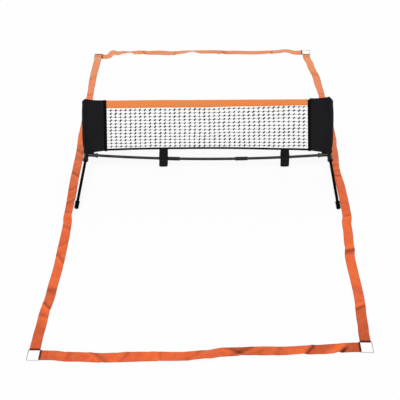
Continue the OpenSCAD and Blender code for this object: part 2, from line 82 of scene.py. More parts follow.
NET_PLACE, NET_TURN = (16 * MM, 17 * MM), radians(-0.4)
HALF_SPAN = 707 * MM
LEG_REACH, LEG_SLOPE, LEG_SPLAY = 362 * MM, radians(15), radians(3.5)
LEG_TRAVEL = 30 * MM
FOOT_R, FOOT_ROUND, FOOT_LEN = 12 * MM, 3 * MM, 44 * MM
HUB_Z = ((LEG_REACH - FOOT_ROUND) * sin(LEG_SLOPE) + (FOOT_R - FOOT_ROUND) * cos(LEG_SLOPE)
         + FOOT_ROUND)

BAR_SLOPE = radians(5.4)
BAR_R = HALF_SPAN / sin(BAR_SLOPE)
BAR_LOW_Z = HUB_Z - BAR_R * (1 - cos(BAR_SLOPE))

NET_BOTTOM = HUB_Z + 31 * MM
NET_TOP = NET_BOTTOM + 357 * MM
NET_HALF_BOTTOM = HALF_SPAN - 125 * MM
NET_HALF_TOP = NET_HALF_BOTTOM - 36 * MM
BAND_BOTTOM = NET_TOP - 50 * MM
HEM_ARCH, HEM_H = 12 * MM, 13 * MM
SEAM_IN = 6 * MM
BINDING_W = 16 * MM

UPRIGHT_RISE, UPRIGHT_LEAN = 376 * MM, 39 * MM
UPRIGHT_R = (UPRIGHT_RISE ** 2 + UPRIGHT_LEAN ** 2) / (2 * UPRIGHT_LEAN)
UPRIGHT_END = asin(UPRIGHT_RISE / UPRIGHT_R)
UPRIGHT_SOCKET = 30 * MM
COLLAR_R = 13.25 * MM
SLEEVE_R = 9.8 * MM
PANEL_FOOT_W = 46 * MM
PANEL_FOOT_Z = HUB_Z + UPRIGHT_SOCKET - 11 * MM
# The highest point of an end panel: how far in from the upright's tip, and above the net's top
PANEL_CORNER, PANEL_PEAK = 5 * MM, 8 * MM

STRAP_W, STRAP_END_Z, STRAP_OPEN = 50 * MM, 12 * MM, 11.35 * MM
STRAP_X = {"left": 450 * MM - HALF_SPAN, "right": HALF_SPAN - 255 * MM}

TAPE_W, TAPE_T = 49 * MM, 1.6 * MM
FOOT_OUT = LEG_REACH * cos(LEG_SLOPE) * sin(LEG_SPLAY) + FOOT_R
COURT_W, COURT_L = 2 * (HALF_SPAN + FOOT_OUT + 19 * MM + TAPE_W / 2), 2498 * MM
# Where the side tapes pass the feet, with the legs drawn out, and how they bend back to their lie
FOOT_Y = (LEG_REACH - FOOT_LEN / 2) * cos(LEG_SLOPE)
FOOT_ZONE, FOOT_FADE = FOOT_LEN / 2 + LEG_TRAVEL + 16 * MM, 60 * MM
CLEAR_X = (HALF_SPAN + FOOT_OUT + LEG_TRAVEL * cos(LEG_SLOPE) * sin(LEG_SPLAY) + TAPE_W / 2
           + 1.8 * MM)
# An end loop round a ring's bar: its inside and outside radius, and where its flap ends and begins
LOOP_RI, LOOP_RO = 2.2 * MM, 3.8 * MM
LOOP_SEWN, LOOP_NECK = 34 * MM, 12 * MM
RING_HALF = TAPE_W / 2 + LOOP_RO + 0.3 * MM
# How far each corner is laid off the true rectangle, in millimetres along X and Y: front left,
# front right, back left, back right
LAY = [(9, -23), (-34, 21), (1, -11), (-62, 21)]
# How far each tape's middle lies beside the straight line between its ends: (share, millimetres)
FRONT_BOW = [(0, 0), (0.08, -12), (0.2, -22), (0.34, -21), (0.44, -26), (0.52, -20), (0.58, -8),
             (0.7, -7), (0.78, -11), (0.88, -7), (1, 0)]
BACK_BOW = [(0, 0), (0.04, 27), (0.08, 40), (0.17, 48), (0.25, 40), (0.34, 28), (0.44, 38),
            (0.54, 34), (0.66, 20), (0.78, 10), (0.88, 12), (0.94, 25), (1, 0)]
LEFT_BOW = [(0, 0), (0.06, -6), (0.12, -20), (0.2, -29), (0.3, -30), (0.38, -22), (0.47, -16),
            (0.56, -16), (0.64, -8), (0.8, -3), (0.9, 4), (1, 0)]
RIGHT_BOW = [(0, 0), (0.03, -5), (0.1, -14), (0.2, -10), (0.235, -20), (0.29, -29), (0.35, -36),
             (0.42, -43), (0.49, -33), (0.56, -45), (0.66, -54), (0.78, -46), (0.88, -39),
             (0.96, -15), (1, 0)]


def hem_z(x):
    """Height of the net's bottom edge at a distance from the net's middle."""
    return NET_BOTTOM + HEM_ARCH * (1 - (x / NET_HALF_BOTTOM) ** 2)


def net_half(z):
    """Half width of the netting at a height."""
    return NET_HALF_TOP + (NET_HALF_BOTTOM - NET_HALF_TOP) * (NET_TOP - z) / (NET_TOP - NET_BOTTOM)


def bar_z(x):
    """Height of the crossbar's centre line."""
    return BAR_LOW_Z + BAR_R - sqrt(BAR_R ** 2 - x ** 2)


def upright_x(z):
    """Distance of an upright's centre line from the net's middle, at a height."""
    return HALF_SPAN - UPRIGHT_R + sqrt(UPRIGHT_R ** 2 - (z - HUB_Z) ** 2)


# ---------------------------------------------------------------- node trees

def feed(tree, node, inputs):
    """Gives a node its inputs: sockets to link or values to set, by the socket's name or number."""
    for key, value in inputs.items():
        if isinstance(value, bpy.types.NodeSocket):
            tree.links.new(value, node.inputs[key])
        else:
            node.inputs[key].default_value = value


def add(tree, kind, inputs=None, **settings):
    node = tree.nodes.new(kind)
    for name, value in settings.items():
        setattr(node, name, value)
    feed(tree, node, inputs or {})
    return node


def made(tree, kind, inputs=None, **settings):
    """The first output of a new node."""
    return add(tree, kind, inputs, **settings).outputs[0]


def calculate(tree, operation, *values):
    return made(tree, "ShaderNodeMath", dict(enumerate(values)), operation=operation)


def on_vector(tree, operation, inputs):
    return made(tree, "ShaderNodeVectorMath", inputs, operation=operation)


def triple(tree, x=0.0, y=0.0, z=0.0):
    return made(tree, "ShaderNodeCombineXYZ", {0: x, 1: y, 2: z})


def axes_of(tree, vector):
    return add(tree, "ShaderNodeSeparateXYZ", {0: vector}).outputs


def stretched(tree, value, low=0.0, high=1.0, to_low=0.0, to_high=1.0):
    """A value whose range is stretched to another one and held at its ends."""
    return made(tree, "ShaderNodeMapRange", {"Value": value, "From Min": low, "From Max": high,
                                             "To Min": to_low, "To Max": to_high})


def new_group(name, kind, inputs, outputs):
    """An empty node group with named sockets: inputs and outputs are {name: (socket kind, value)}."""
    tree = bpy.data.node_groups.new(name, kind)
    for in_out, sockets in (("INPUT", inputs), ("OUTPUT", outputs)):
        for label, (socket, value) in sockets.items():
            item = tree.interface.new_socket(label, in_out=in_out, socket_type=socket)
            if value is not None:
                item.default_value = value
    return tree, tree.nodes.new("NodeGroupInput").outputs, tree.nodes.new("NodeGroupOutput").inputs


FLOAT, VECTOR = "NodeSocketFloat", "NodeSocketVector"


def plain_weave_group():
    """Yarns that pass over and under each other, on a map in metres: X along the cloth, Y across."""
    tree, given, out = new_group(
        "plain weave", "ShaderNodeTree",
        {"Vector": (VECTOR, None), "Warp": (FLOAT, 0.001), "Weft": (FLOAT, 0.001)},
        {"Height": (FLOAT, None)})
    place = axes_of(tree, given["Vector"])
    waves = []
    for axis, pitch in (("Y", "Warp"), ("X", "Weft")):
        turns = calculate(tree, "DIVIDE", place[axis], given[pitch])
        waves.append(calculate(tree, "SINE", calculate(tree, "MULTIPLY", turns, pi)))
    over = calculate(tree, "GREATER_THAN", calculate(tree, "MULTIPLY", *waves), 0)
    warp, weft = (calculate(tree, "ABSOLUTE", wave) for wave in waves)
    crown = made(tree, "ShaderNodeMix", {0: over, 2: weft, 3: warp}, data_type="FLOAT")
    tree.links.new(calculate(tree, "SQRT", crown), out["Height"])
    return tree


def mottle_group():
    """Soft uneven patches, between two values."""
    tree, given, out = new_group(
        "mottle", "ShaderNodeTree",
        {"Vector": (VECTOR, None), "Scale": (FLOAT, 10), "Low": (FLOAT, 0), "High": (FLOAT, 1)},
        {"Value": (FLOAT, None)})
    cloud = made(tree, "ShaderNodeTexNoise",
                 {"Vector": given["Vector"], "Scale": given["Scale"], "Detail": 4, "Roughness": 0.6})
    tree.links.new(stretched(tree, cloud, 0.3, 0.7, given["Low"], given["High"]), out["Value"])
    return tree


def edge_line_group():
    """A mask for painted shade, 1 near both long edges of a strip whose map has its middle at Y = 0."""
    tree, given, out = new_group(
        "edge_shade", "ShaderNodeTree",
        {"Vector": (VECTOR, None), "Half Width": (FLOAT, 0.02), "Edge": (FLOAT, 0.002)},
        {"Mask": (FLOAT, None)})
    off_middle = calculate(tree, "ABSOLUTE", axes_of(tree, given["Vector"])["Y"])
    inside = calculate(tree, "SUBTRACT", given["Half Width"], off_middle)
    tree.links.new(stretched(tree, inside, 0, given["Edge"], 1, 0), out["Mask"])
    return tree


GROUPS = {"weave": plain_weave_group(), "mottle": mottle_group(), "edge_shade": edge_line_group()}


def use(tree, name, inputs):
    return made(tree, "ShaderNodeGroup", inputs, node_tree=GROUPS[name])


def mottle(tree, place, scale, low=0.0, high=1.0):
    """Patches from low to high, at a scale in patches per metre."""
    return use(tree, "mottle", {"Vector": place, "Scale": scale, "Low": low, "High": high})


# ---------------------------------------------------------------- materials

WEBBING_COLOUR = (0.89, 0.120, 0.029)
FADED_WEBBING = (0.88, 0.40, 0.185)
# The webbing's colour in its strongest painted light
LIT_WEBBING = (1.0, 0.178, 0.036)
BAND_COLOUR = (0.94, 0.285, 0.072)
# The band's painted shade, on its lower part towards its free edges
BAND_SHADE_COLOUR = (0.84, 0.17, 0.02)
BLACK_CLOTH = (0.0065, 0.0065, 0.0085)
# How strongly the painted edge shade shows
EDGE_SHADE_SHARE = 0.65
# Where along the court the webbing begins and ends to pale with the distance, and by how much
PALING_FROM, PALING_TO, PALING = -0.3, 1.25, 0.6
# The tones at which the painted shade leaves the webbing a tenth as bright, and its painted light is
# brightest
DARKEST_TONE, BRIGHTEST_TONE = -1.5, 1


def new_material(name):
    """A material with its node tree, its shader and the place on the object."""
    material = bpy.data.materials.new(name)
    material.use_nodes = True
    tree = material.node_tree
    place = add(tree, "ShaderNodeTexCoord").outputs["Object"]
    return material, tree, tree.nodes["Principled BSDF"], place


def times(colour, factor):
    return tuple(factor * channel for channel in colour)


def blend_colour(tree, factor, first, second):
    """A colour between two: first at factor 0 and second at factor 1."""
    ends = [end if isinstance(end, bpy.types.NodeSocket) else (*end, 1) for end in (first, second)]
    return add(tree, "ShaderNodeMix", {0: factor, 6: ends[0], 7: ends[1]}, data_type="RGBA").outputs[2]


def dress(tree, shader, height, depth, surface):
    """Gives the shader its surface, by links or plain values, and a bump of a depth in metres."""
    feed(tree, shader, surface)
    bump = made(tree, "ShaderNodeBump", {"Height": height, "Distance": depth})
    tree.links.new(bump, shader.inputs["Normal"])


def worn_and_shaded_webbing(tree, place, shade, colour, worn):
    """Clouded, worn and paling webbing, with the painted light and shade that its vertices keep as
    tones.
    """
    shade = blend_colour(tree, mottle(tree, place, 6, 0, 0.35), shade, times(colour, 0.6))
    wear = mottle(tree, place, 38, 0, worn)
    far = stretched(tree, axes_of(tree, place)["Y"], PALING_FROM, PALING_TO, 0, PALING)
    shade = blend_colour(tree, calculate(tree, "ADD", wear, far), shade, FADED_WEBBING)
    # The vertices' tones: painted shade below 0 and painted light above 0, along the tapes, at their
    # creases and round their loops
    tone = add(tree, "ShaderNodeAttribute", attribute_name="tone").outputs["Fac"]
    for limit, target in ((DARKEST_TONE, times(colour, 0.1)), (BRIGHTEST_TONE, LIT_WEBBING)):
        shade = blend_colour(tree, stretched(tree, tone, 0, limit), shade, target)
    return shade


def cloth_material(name, colour, gap_shade, warp, weft, depth, roughness, sheen=0.0, fade=(0, 0.2),
                   specular=0.2, edge_shade=None, worn=None):
    """Woven cloth: yarns of one colour with painted shade in the gaps, uneven tone and rough patches.

    edge_shade is the strip's half width, the width of the painted shade along its edges and its
    colour. worn is the share of webbing that is worn pale.
    """
    material, tree, shader, place = new_material(name)
    weave_map = made(tree, "ShaderNodeUVMap", uv_map="weave")
    height = use(tree, "weave", {"Vector": weave_map, "Warp": warp, "Weft": weft})
    # The gaps between the yarns are painted darker: painted shade
    shade = blend_colour(tree, height, times(colour, gap_shade), colour)
    shade = blend_colour(tree, mottle(tree, place, 22, *fade), shade, times(colour, 0.55))
    shade = blend_colour(tree, mottle(tree, place, 600, 0, fade[1]), shade, times(colour, 1.2))
    if worn:
        shade = worn_and_shaded_webbing(tree, place, shade, colour, worn)
    # Painted shade near both long edges of the strip's map
    if edge_shade:
        half, edge, edge_colour = edge_shade
        rim = use(tree, "edge_shade", {"Vector": weave_map, "Half Width": half, "Edge": edge})
        shade = blend_colour(tree, calculate(tree, "MULTIPLY", rim, EDGE_SHADE_SHARE), shade, edge_colour)
    patches = mottle(tree, place, 60, roughness - 0.08, roughness + 0.08)
    dress(tree, shader, height, depth, {"Base Color": shade, "Roughness": patches,
                                        "Sheen Weight": sheen, "Specular IOR Level": specular})
    return material


def grained_material(name, colour, roughness, grain, depth, specular=0.4, metallic=0.0,
                     spread=0.12, uneven=0.35):
    """A moulded, drawn or plated surface, with fine grain.

    spread is how far its roughness varies, and uneven how far its colour does.
    """
    material, tree, shader, place = new_material(name)
    shade = blend_colour(tree, mottle(tree, place, 18, 0, uneven), colour, times(colour, 1.9))
    patches = mottle(tree, place, 45, roughness - spread, roughness + spread)
    dress(tree, shader, mottle(tree, place, grain), depth,
          {"Base Color": shade, "Roughness": patches, "Metallic": metallic,
           "Specular IOR Level": specular})
    return material


def fleece_material(name, colour):
    """Hook and loop tape: a short tangled pile."""
    material, tree, shader, place = new_material(name)
    tufts = made(tree, "ShaderNodeTexVoronoi", {"Vector": place, "Scale": 900}, feature="F1")
    height = calculate(tree, "ADD", tufts, mottle(tree, place, 1500))
    shade = blend_colour(tree, mottle(tree, place, 90), times(colour, 0.6), times(colour, 1.7))
    # The pile's hollows, where the tufts are low, are painted darker: painted shade
    dress(tree, shader, height, 0.6 * MM,
          {"Base Color": blend_colour(tree, tufts, times(colour, 0.5), shade),
           "Roughness": 0.95, "Sheen Weight": 0.05, "Specular IOR Level": 0.1})
    return material


def twine_material(name, colour, pitch):
    """Twisted twine: slanting strands along X and Z."""
    material, tree, shader, place = new_material(name)
    axes = axes_of(tree, place)
    slant = calculate(tree, "ADD", calculate(tree, "ADD", axes["X"], axes["Z"]),
                      calculate(tree, "MULTIPLY", axes["Y"], 2))
    wave = calculate(tree, "SINE", calculate(tree, "MULTIPLY", slant, pi / pitch))
    strand = calculate(tree, "ABSOLUTE", wave)
    # Darker where the strands dip between each other: painted shade in the grooves, with random darker
    # patches
    light = calculate(tree, "MULTIPLY", strand, mottle(tree, place, 150, 0.2, 1))
    dress(tree, shader, strand, 0.15 * MM,
          {"Base Color": blend_colour(tree, light, times(colour, 0.4), colour),
           "Roughness": 0.8, "Specular IOR Level": 0.15})
    return material


MATERIALS = {
    # Painted shade along both edges of the webbing
    "webbing": cloth_material(
        "orange webbing", WEBBING_COLOUR, gap_shade=0.45, warp=1.1 * MM, weft=1.5 * MM, depth=0.35 * MM,
        roughness=0.72, sheen=0.1, fade=(-0.3, 0.9), specular=0.15, worn=0.22,
        edge_shade=(TAPE_W / 2, 3.2 * MM, times(WEBBING_COLOUR, 0.45))),
    # Painted shade on the band's lower part, towards its free edges, front and back
    "band": cloth_material(
        "orange band cloth", BAND_COLOUR, gap_shade=0.72, warp=0.5 * MM, weft=0.5 * MM, depth=0.12 * MM,
        roughness=0.7, sheen=0.1, edge_shade=(52 * MM, 17 * MM, BAND_SHADE_COLOUR)),
    "panel": cloth_material(
        "black panel cloth", BLACK_CLOTH, gap_shade=0.5, warp=0.45 * MM, weft=0.45 * MM, depth=0.12 * MM,
        roughness=0.66, fade=(0, 0.35), specular=0.12),
    "binding": cloth_material(
        "ribbed binding", (0.003, 0.003, 0.0035), gap_shade=0.4, warp=3 * MM, weft=0.9 * MM,
        depth=0.2 * MM, roughness=0.75, specular=0.05),
    "fleece": fleece_material("hook and loop", (0.008, 0.008, 0.009)),
    "twine": twine_material("black twine", (0.008, 0.008, 0.010), 1.1 * MM),
    "black thread": twine_material("black thread", (0.018, 0.018, 0.021), 0.5 * MM),
    "orange thread": twine_material("orange thread", (0.62, 0.085, 0.024), 0.5 * MM),
    "cord": twine_material("elastic cord", (0.60, 0.58, 0.52), 1.6 * MM),
    "hub": grained_material("moulded black plastic", (0.003, 0.003, 0.0035), roughness=0.32,
                            grain=1400, depth=0.05 * MM),
    "bar": grained_material("black glass fibre, satin", (0.003, 0.003, 0.0033), roughness=0.38,
                            grain=700, depth=0.02 * MM, specular=0.3),
    "pole": grained_material("black glass fibre", (0.0015, 0.0015, 0.0016), roughness=0.5,
                             grain=700, depth=0.02 * MM, specular=0.02),
    "ferrule": grained_material("black coated sleeve", (0.003, 0.003, 0.0033), roughness=0.42,
                                grain=900, depth=0.03 * MM, specular=0.2),
    "rubber": grained_material("black rubber", (0.002, 0.002, 0.0023), roughness=0.8,
                               grain=1800, depth=0.08 * MM, specular=0.02),
    "wire": grained_material("plated wire", (0.42, 0.43, 0.44), roughness=0.3,
                             grain=500, depth=0.02 * MM, metallic=1.0, spread=0.08, uneven=0.2),
}


# ---------------------------------------------------------------- meshes

def value_at(pairs, share):
    """Smooth value through a list of (share, value) pairs: a cosine step between neighbours."""
    for (s0, v0), (s1, v1) in zip(pairs, pairs[1:]):
        if share <= s1:
            break
    step = min(max((share - s0) / (s1 - s0), 0), 1)
    return v0 + (v1 - v0) * (1 - cos(pi * step)) / 2


def smooth_step(low, high, value):
    step = min(max((value - low) / (high - low), 0), 1)
    return step * step * (3 - 2 * step)


def between(a, b, share):
    return a + (b - a) * share


def waver(*place, size=1.0):
    """Smooth repeatable unevenness, about -size to size."""
    return noise.noise(Vector(place)) * 2 * size


def unit(vectors):
    return vectors / np.maximum(np.linalg.norm(vectors, axis=-1, keepdims=True), 1e-12)


def steps_of(points):
    """The distance from each point of a line to the next."""
    return np.linalg.norm(np.diff(points, axis=0), axis=1)


def run_of(points):
    """How far along a line of points each one is."""
    return np.concatenate([[0], np.cumsum(steps_of(points))])


def sheet_normals(points):
    return unit(np.cross(np.gradient(points, axis=0), np.gradient(points, axis=1)))


def thick_sheet(points, thickness, across=None):
    """A closed sheet round a grid of points in its middle: vertices, faces and a map in metres.

    The grid's first index runs along the cloth. across is each column's place on the map. The rim
    is a row of its own, half a thickness outside.
    """
    points = np.asarray(points, float)
    rows, columns, _ = points.shape
    along = run_of(points[:, columns // 2])
    if across is None:
        across = run_of(points[rows // 2])
        across -= across[-1] / 2
    half = thickness / 2
    normals = sheet_normals(points) * half
    wide = np.zeros((rows + 2, columns + 2, 3))
    wide[1:-1, 1:-1] = points
    wide[1:-1, 0] = points[:, 0] + unit(points[:, 0] - points[:, 1]) * half
    wide[1:-1, -1] = points[:, -1] + unit(points[:, -1] - points[:, -2]) * half
    wide[0] = wide[1] + unit(wide[1] - wide[2]) * half
    wide[-1] = wide[-2] + unit(wide[-2] - wide[-3]) * half
    upper = np.arange(wide.shape[0] * wide.shape[1]).reshape(wide.shape[:2])
    inner = np.arange(rows * columns).reshape(rows, columns) + upper.size
    lower = upper.copy()
    lower[1:-1, 1:-1] = inner
    wide_up = wide.copy()
    wide_up[1:-1, 1:-1] += normals
    vertices = np.concatenate([wide_up.reshape(-1, 3), (points - normals).reshape(-1, 3)])
    corners = [grid[a:grid.shape[0] - 1 + a, b:grid.shape[1] - 1 + b].ravel()
               for grid in (upper, lower) for a, b in ((0, 0), (1, 0), (1, 1), (0, 1))]
    faces = np.concatenate([np.stack(corners[:4], 1), np.stack(corners[:3:-1], 1)])
    u, v = (np.concatenate([[line[0] - half], line, [line[-1] + half]]) for line in (along, across))
    outer_map = np.stack(np.meshgrid(u, v, indexing="ij"), -1)
    inner_map = outer_map[1:-1, 1:-1]
    weave = np.concatenate([outer_map.reshape(-1, 2), inner_map.reshape(-1, 2)])
    return vertices, faces, weave


def sheet_tones(tones):
    """A grid's tones for the vertices of the closed sheet round it."""
    tones = np.asarray(tones, float)
    return np.concatenate([np.pad(tones, 1, mode="edge").ravel(), tones.ravel()])


def new_piece(name, parts, material, tones=None):
    """One mesh from several parts, each with vertices, faces and a map.

    tones are kept on the vertices: painted shade below 0 and painted light above 0.
    """
    vertices, faces, weave, start = [], [], [], 0
    for part_vertices, part_faces, part_map in parts:
        vertices.append(part_vertices)
        faces.append(part_faces + start)
        weave.append(part_map)
        start += len(part_vertices)
    mesh = bpy.data.meshes.new(name)
    mesh.from_pydata(np.concatenate(vertices).tolist(), [], np.concatenate(faces).tolist())
    layer = mesh.uv_layers.new(name="weave")
    ends = np.empty(len(mesh.loops), dtype=np.int32)
    mesh.loops.foreach_get("vertex_index", ends)
    layer.data.foreach_set("uv", np.concatenate(weave)[ends].astype(np.float32).ravel())
    if tones is not None:
        kept = mesh.attributes.new("tone", "FLOAT", "POINT")
        kept.data.foreach_set("value", tones.astype(np.float32))
    mesh.shade_smooth()
    mesh.materials.append(MATERIALS[material])
    return new_object(name, mesh)


def turned(x, y, angle):
    return x * cos(angle) - y * sin(angle), x * sin(angle) + y * cos(angle)


def in_net(points, side=1):
    """Takes points drawn round the net's own middle to their place in the set.

    They are drawn for its right side, and side -1 mirrors them to its left.
    """
    points = np.asarray(points, float)
    x, y = turned(side * points[..., 0], points[..., 1], NET_TURN)
    return np.stack((x + NET_PLACE[0], y + NET_PLACE[1], points[..., 2]), -1)


# ---------------------------------------------------------------- repeats by geometry nodes

GEOMETRY, MATERIAL = "NodeSocketGeometry", "NodeSocketMaterial"
SET_BODY = "set"


def new_tree(name, inputs):
    """A geometry tree from one geometry to another, with named inputs."""
    return new_group(name, "GeometryNodeTree", {"Geometry": (GEOMETRY, None), **inputs},
                     {"Geometry": (GEOMETRY, None)})


def end_tree(tree, grown_parts, material, out):
    """Realizes instances, smooths and gives the material, at the end of a tree."""
    whole = made(tree, "GeometryNodeRealizeInstances", {0: grown_parts})
    whole = made(tree, "GeometryNodeSetShadeSmooth", {0: whole})
    whole = made(tree, "GeometryNodeSetMaterial", {"Geometry": whole, "Material": material})
    tree.links.new(whole, out[0])


def stitch_tree():
    """A row of sewn stitches along every edge of a mesh."""
    tree, given, out = new_tree("stitches", {
        "Pitch": (FLOAT, 0.003), "Length": (FLOAT, 0.002), "Thickness": (FLOAT, 0.0006),
        "Thread": (MATERIAL, None)})
    path = made(tree, "GeometryNodeMeshToCurve", {0: given["Geometry"]})
    row = made(tree, "GeometryNodeResampleCurve", {"Curve": path, "Length": given["Pitch"]},
               mode="LENGTH")
    bead = made(tree, "GeometryNodeMeshUVSphere", {"Segments": 6, "Rings": 4, "Radius": 0.5})
    size = triple(tree, given["Length"], given["Thickness"], given["Thickness"])
    tangent = made(tree, "GeometryNodeInputTangent")
    turn = made(tree, "FunctionNodeAlignRotationToVector", {"Vector": tangent}, axis="X")
    placed = made(tree, "GeometryNodeInstanceOnPoints",
                  {"Points": row, "Instance": bead, "Rotation": turn, "Scale": size})
    end_tree(tree, placed, given["Thread"], out)
    return tree


def slack_twine(tree, given):
    """Round twine along every edge, hanging a little slack, thicker across than up and down."""
    strands = made(tree, "GeometryNodeMeshToCurve", {0: given["Geometry"]})
    strands = made(tree, "GeometryNodeResampleCurve", {"Curve": strands, "Count": 5})
    share = add(tree, "GeometryNodeSplineParameter").outputs["Factor"]
    arch = calculate(tree, "SINE", calculate(tree, "MULTIPLY", share, pi))
    strand_number = add(tree, "GeometryNodeCurveOfPoint").outputs["Curve Index"]
    way = made(tree, "FunctionNodeRandomValue",
               {"Min": (-0.6, -0.2, -1), "Max": (0.6, 0.2, 0.2), "ID": strand_number,
                "Seed": given["Seed"]}, data_type="FLOAT_VECTOR")
    bend = calculate(tree, "MULTIPLY", arch, given["Slack"])
    shift = on_vector(tree, "SCALE", {0: way, "Scale": bend})
    strands = made(tree, "GeometryNodeSetPosition", {"Geometry": strands, "Offset": shift})
    tangent = axes_of(tree, made(tree, "GeometryNodeInputTangent"))["X"]
    girth = stretched(tree, calculate(tree, "ABSOLUTE", tangent), to_low=0.55, to_high=1.5)
    radius = calculate(tree, "MULTIPLY", given["Twine"], 0.5)
    ring = made(tree, "GeometryNodeCurvePrimitiveCircle", {"Resolution": 6, "Radius": radius})
    return made(tree, "GeometryNodeCurveToMesh",
                {"Curve": strands, "Profile Curve": ring, "Scale": girth, "Fill Caps": True})


def tied_knots(tree, given):
    """A slanting knot with three wraps wherever four strands meet."""
    ball = made(tree, "GeometryNodeMeshUVSphere", {"Segments": 6, "Rings": 8, "Radius": 0.5})
    place = made(tree, "GeometryNodeInputPosition")
    wraps = calculate(tree, "COSINE", calculate(tree, "MULTIPLY", axes_of(tree, place)["Z"], 6 * pi))
    girth = calculate(tree, "SUBTRACT", 1, calculate(tree, "MULTIPLY", wraps, 0.16))
    wrapped = on_vector(tree, "MULTIPLY", {0: place, 1: triple(tree, girth, girth, 1.0)})
    ball = made(tree, "GeometryNodeSetPosition", {"Geometry": ball, "Position": wrapped})
    lean = made(tree, "FunctionNodeRandomValue",
                {"Min": (-0.15, -0.15, -0.4), "Max": (0.15, 0.2, 0.4), "Seed": given["Seed"]},
                data_type="FLOAT_VECTOR")
    turn = on_vector(tree, "ADD", {0: triple(tree, y=given["Knot Slant"]), 1: lean})
    size = triple(tree, given["Knot Width"], given["Knot Width"], given["Knot Length"])
    vary = add(tree, "FunctionNodeRandomValue", {"Min": 0.85, "Max": 1.12, "Seed": given["Seed"]},
               data_type="FLOAT").outputs[1]
    strands_met = add(tree, "GeometryNodeInputMeshVertexNeighbors").outputs["Vertex Count"]
    return made(tree, "GeometryNodeInstanceOnPoints",
                {"Points": given["Geometry"],
                 "Selection": calculate(tree, "GREATER_THAN", strands_met, 3.5),
                 "Instance": ball, "Rotation": turn,
                 "Scale": on_vector(tree, "SCALE", {0: size, "Scale": vary})})


def netting_tree():
    """Twine along every edge of a mesh, tied in a slanting knot at every point."""
    tree, given, out = new_tree("knotted netting", {
        "Twine": (FLOAT, 0.0015), "Knot Width": (FLOAT, 0.005), "Knot Length": (FLOAT, 0.008),
        "Knot Slant": (FLOAT, 0.7), "Slack": (FLOAT, 0.001), "Seed": ("NodeSocketInt", 1),
        "Material": (MATERIAL, None)})
    both = add(tree, "GeometryNodeJoinGeometry")
    for part in (slack_twine(tree, given), tied_knots(tree, given)):
        tree.links.new(part, both.inputs[0])
    end_tree(tree, both.outputs[0], given["Material"], out)
    return tree


TREES = {"stitches": stitch_tree(), "netting": netting_tree()}


def grown(name, points, edges, tree_name, values):
    """The plain mesh that a tree makes from points and edges."""
    base = bpy.data.meshes.new(name)
    base.from_pydata(points, edges, [])
    piece = new_object(name, base)
    modifier = piece.modifiers.new(tree_name, "NODES")
    modifier.node_group = TREES[tree_name]
    keys = {item.name: item.identifier for item in modifier.node_group.interface.items_tree
            if item.item_type == "SOCKET" and item.in_out == "INPUT"}
    for key, value in values.items():
        modifier[keys[key]] = value
    piece.update_tag()
    shaped = piece.evaluated_get(bpy.context.evaluated_depsgraph_get())
    mesh = bpy.data.meshes.new_from_object(shaped)
    piece.modifiers.clear()
    piece.data = mesh
    mesh.name = name
    return piece


def settle(piece, slot, *nodes):
    """A finished piece rides on the standing set and stands for its solids."""
    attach(piece, SET_BODY)
    if nodes:
        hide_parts(*nodes)


def stitches(name, lines, thread, slot, thickness=0.6 * MM):
    """Rows of stitches along lines of points."""
    points, edges = [], []
    for line in lines:
        edges += [(k, k + 1) for k in range(len(points), len(points) + len(line) - 1)]
        points += [tuple(point) for point in line]
    piece = grown(name, points, edges, "stitches",
                  {"Pitch": 3.2 * MM, "Length": 2.4 * MM, "Thickness": thickness,
                   "Thread": MATERIALS[thread]})
    settle(piece, slot)


def over_face(grid, thickness, column=None, row=None, side=1):
    """The line that a grid's column or row draws on one face of the finished sheet."""
    face = grid + sheet_normals(grid) * side * (thickness / 2 + 0.1 * MM)
    return face[:, column] if row is None else face[row]


def side_towards(grid, column, way):
    """1 if a grid's normals point a given way, halfway along one of its columns, else -1."""
    return 1 if np.dot(sheet_normals(grid)[len(grid) // 2, column], way) > 0 else -1


# ---------------------------------------------------------------- court tapes

def corner(n):
    x = (-1 if n % 2 == 0 else 1) * COURT_W / 2 + LAY[n][0] * MM
    y = (-1 if n < 2 else 1) * COURT_L / 2 + LAY[n][1] * MM
    return np.array((x, y))


def heading(way):
    return np.array((cos(radians(way)), sin(radians(way))))


def left_of(direction):
    return np.array((-direction[1], direction[0]))


def bar_of(n, way):
    """Centre of one bar of a ring, by the direction in which it lies from the ring's centre."""
    return corner(n) + RING_HALF * heading(way)


def clear_of_feet(point):
    """Moves a point of a side tape that would lie against a foot out to where it lies clear."""
    x, y = turned(point[0] - NET_PLACE[0], point[1] - NET_PLACE[1], -NET_TURN)
    near = smooth_step(FOOT_ZONE + FOOT_FADE, FOOT_ZONE, abs(abs(y) - FOOT_Y))
    out = between(abs(x), max(abs(x), CLEAR_X), near)
    return np.array(turned(copysign(out, x), y, NET_TURN)) + NET_PLACE


def loop_profile():
    """Distance from the bar and height along an end loop: the sewn flap, round the bar and back."""
    middle = (LOOP_RI + LOOP_RO) / 2
    flap_z = 1.5 * TAPE_T + 0.1 * MM
    flap = [(between(LOOP_SEWN, LOOP_NECK, k / 6), flap_z) for k in range(7)]
    rise = [(between(LOOP_NECK, 0, s), between(flap_z, LOOP_RO + middle, smooth_step(0, 1.15, s)))
            for s in (0.2, 0.4, 0.6, 0.8)]
    turn = [(-middle * sin(a), LOOP_RO + middle * cos(a)) for a in np.linspace(0.1, pi, 13)]
    floor = [(between(0, LOOP_SEWN, k / 7), TAPE_T / 2) for k in range(1, 7)]
    return flap + rise + turn + floor


def from_creases(creases, share, t, length):
    """How high each crease is, in millimetres, and how far off it lies, in its own widths."""
    for place, slant, high, before, after in creases:
        off = (share - place) * length - slant * t
        yield high, off / ((before if off < 0 else after) * MM)


TAPE_COLUMNS = 13
TAPE_STEP = 3.5 * MM
NEARBY = 0.004  # the share of a tape's length, either way, over which its direction is taken
# Shares of a tape's length over which it settles flat, towards its first and its last end
SETTLE_FIRST, SETTLE_LAST = 0.03, 0.05
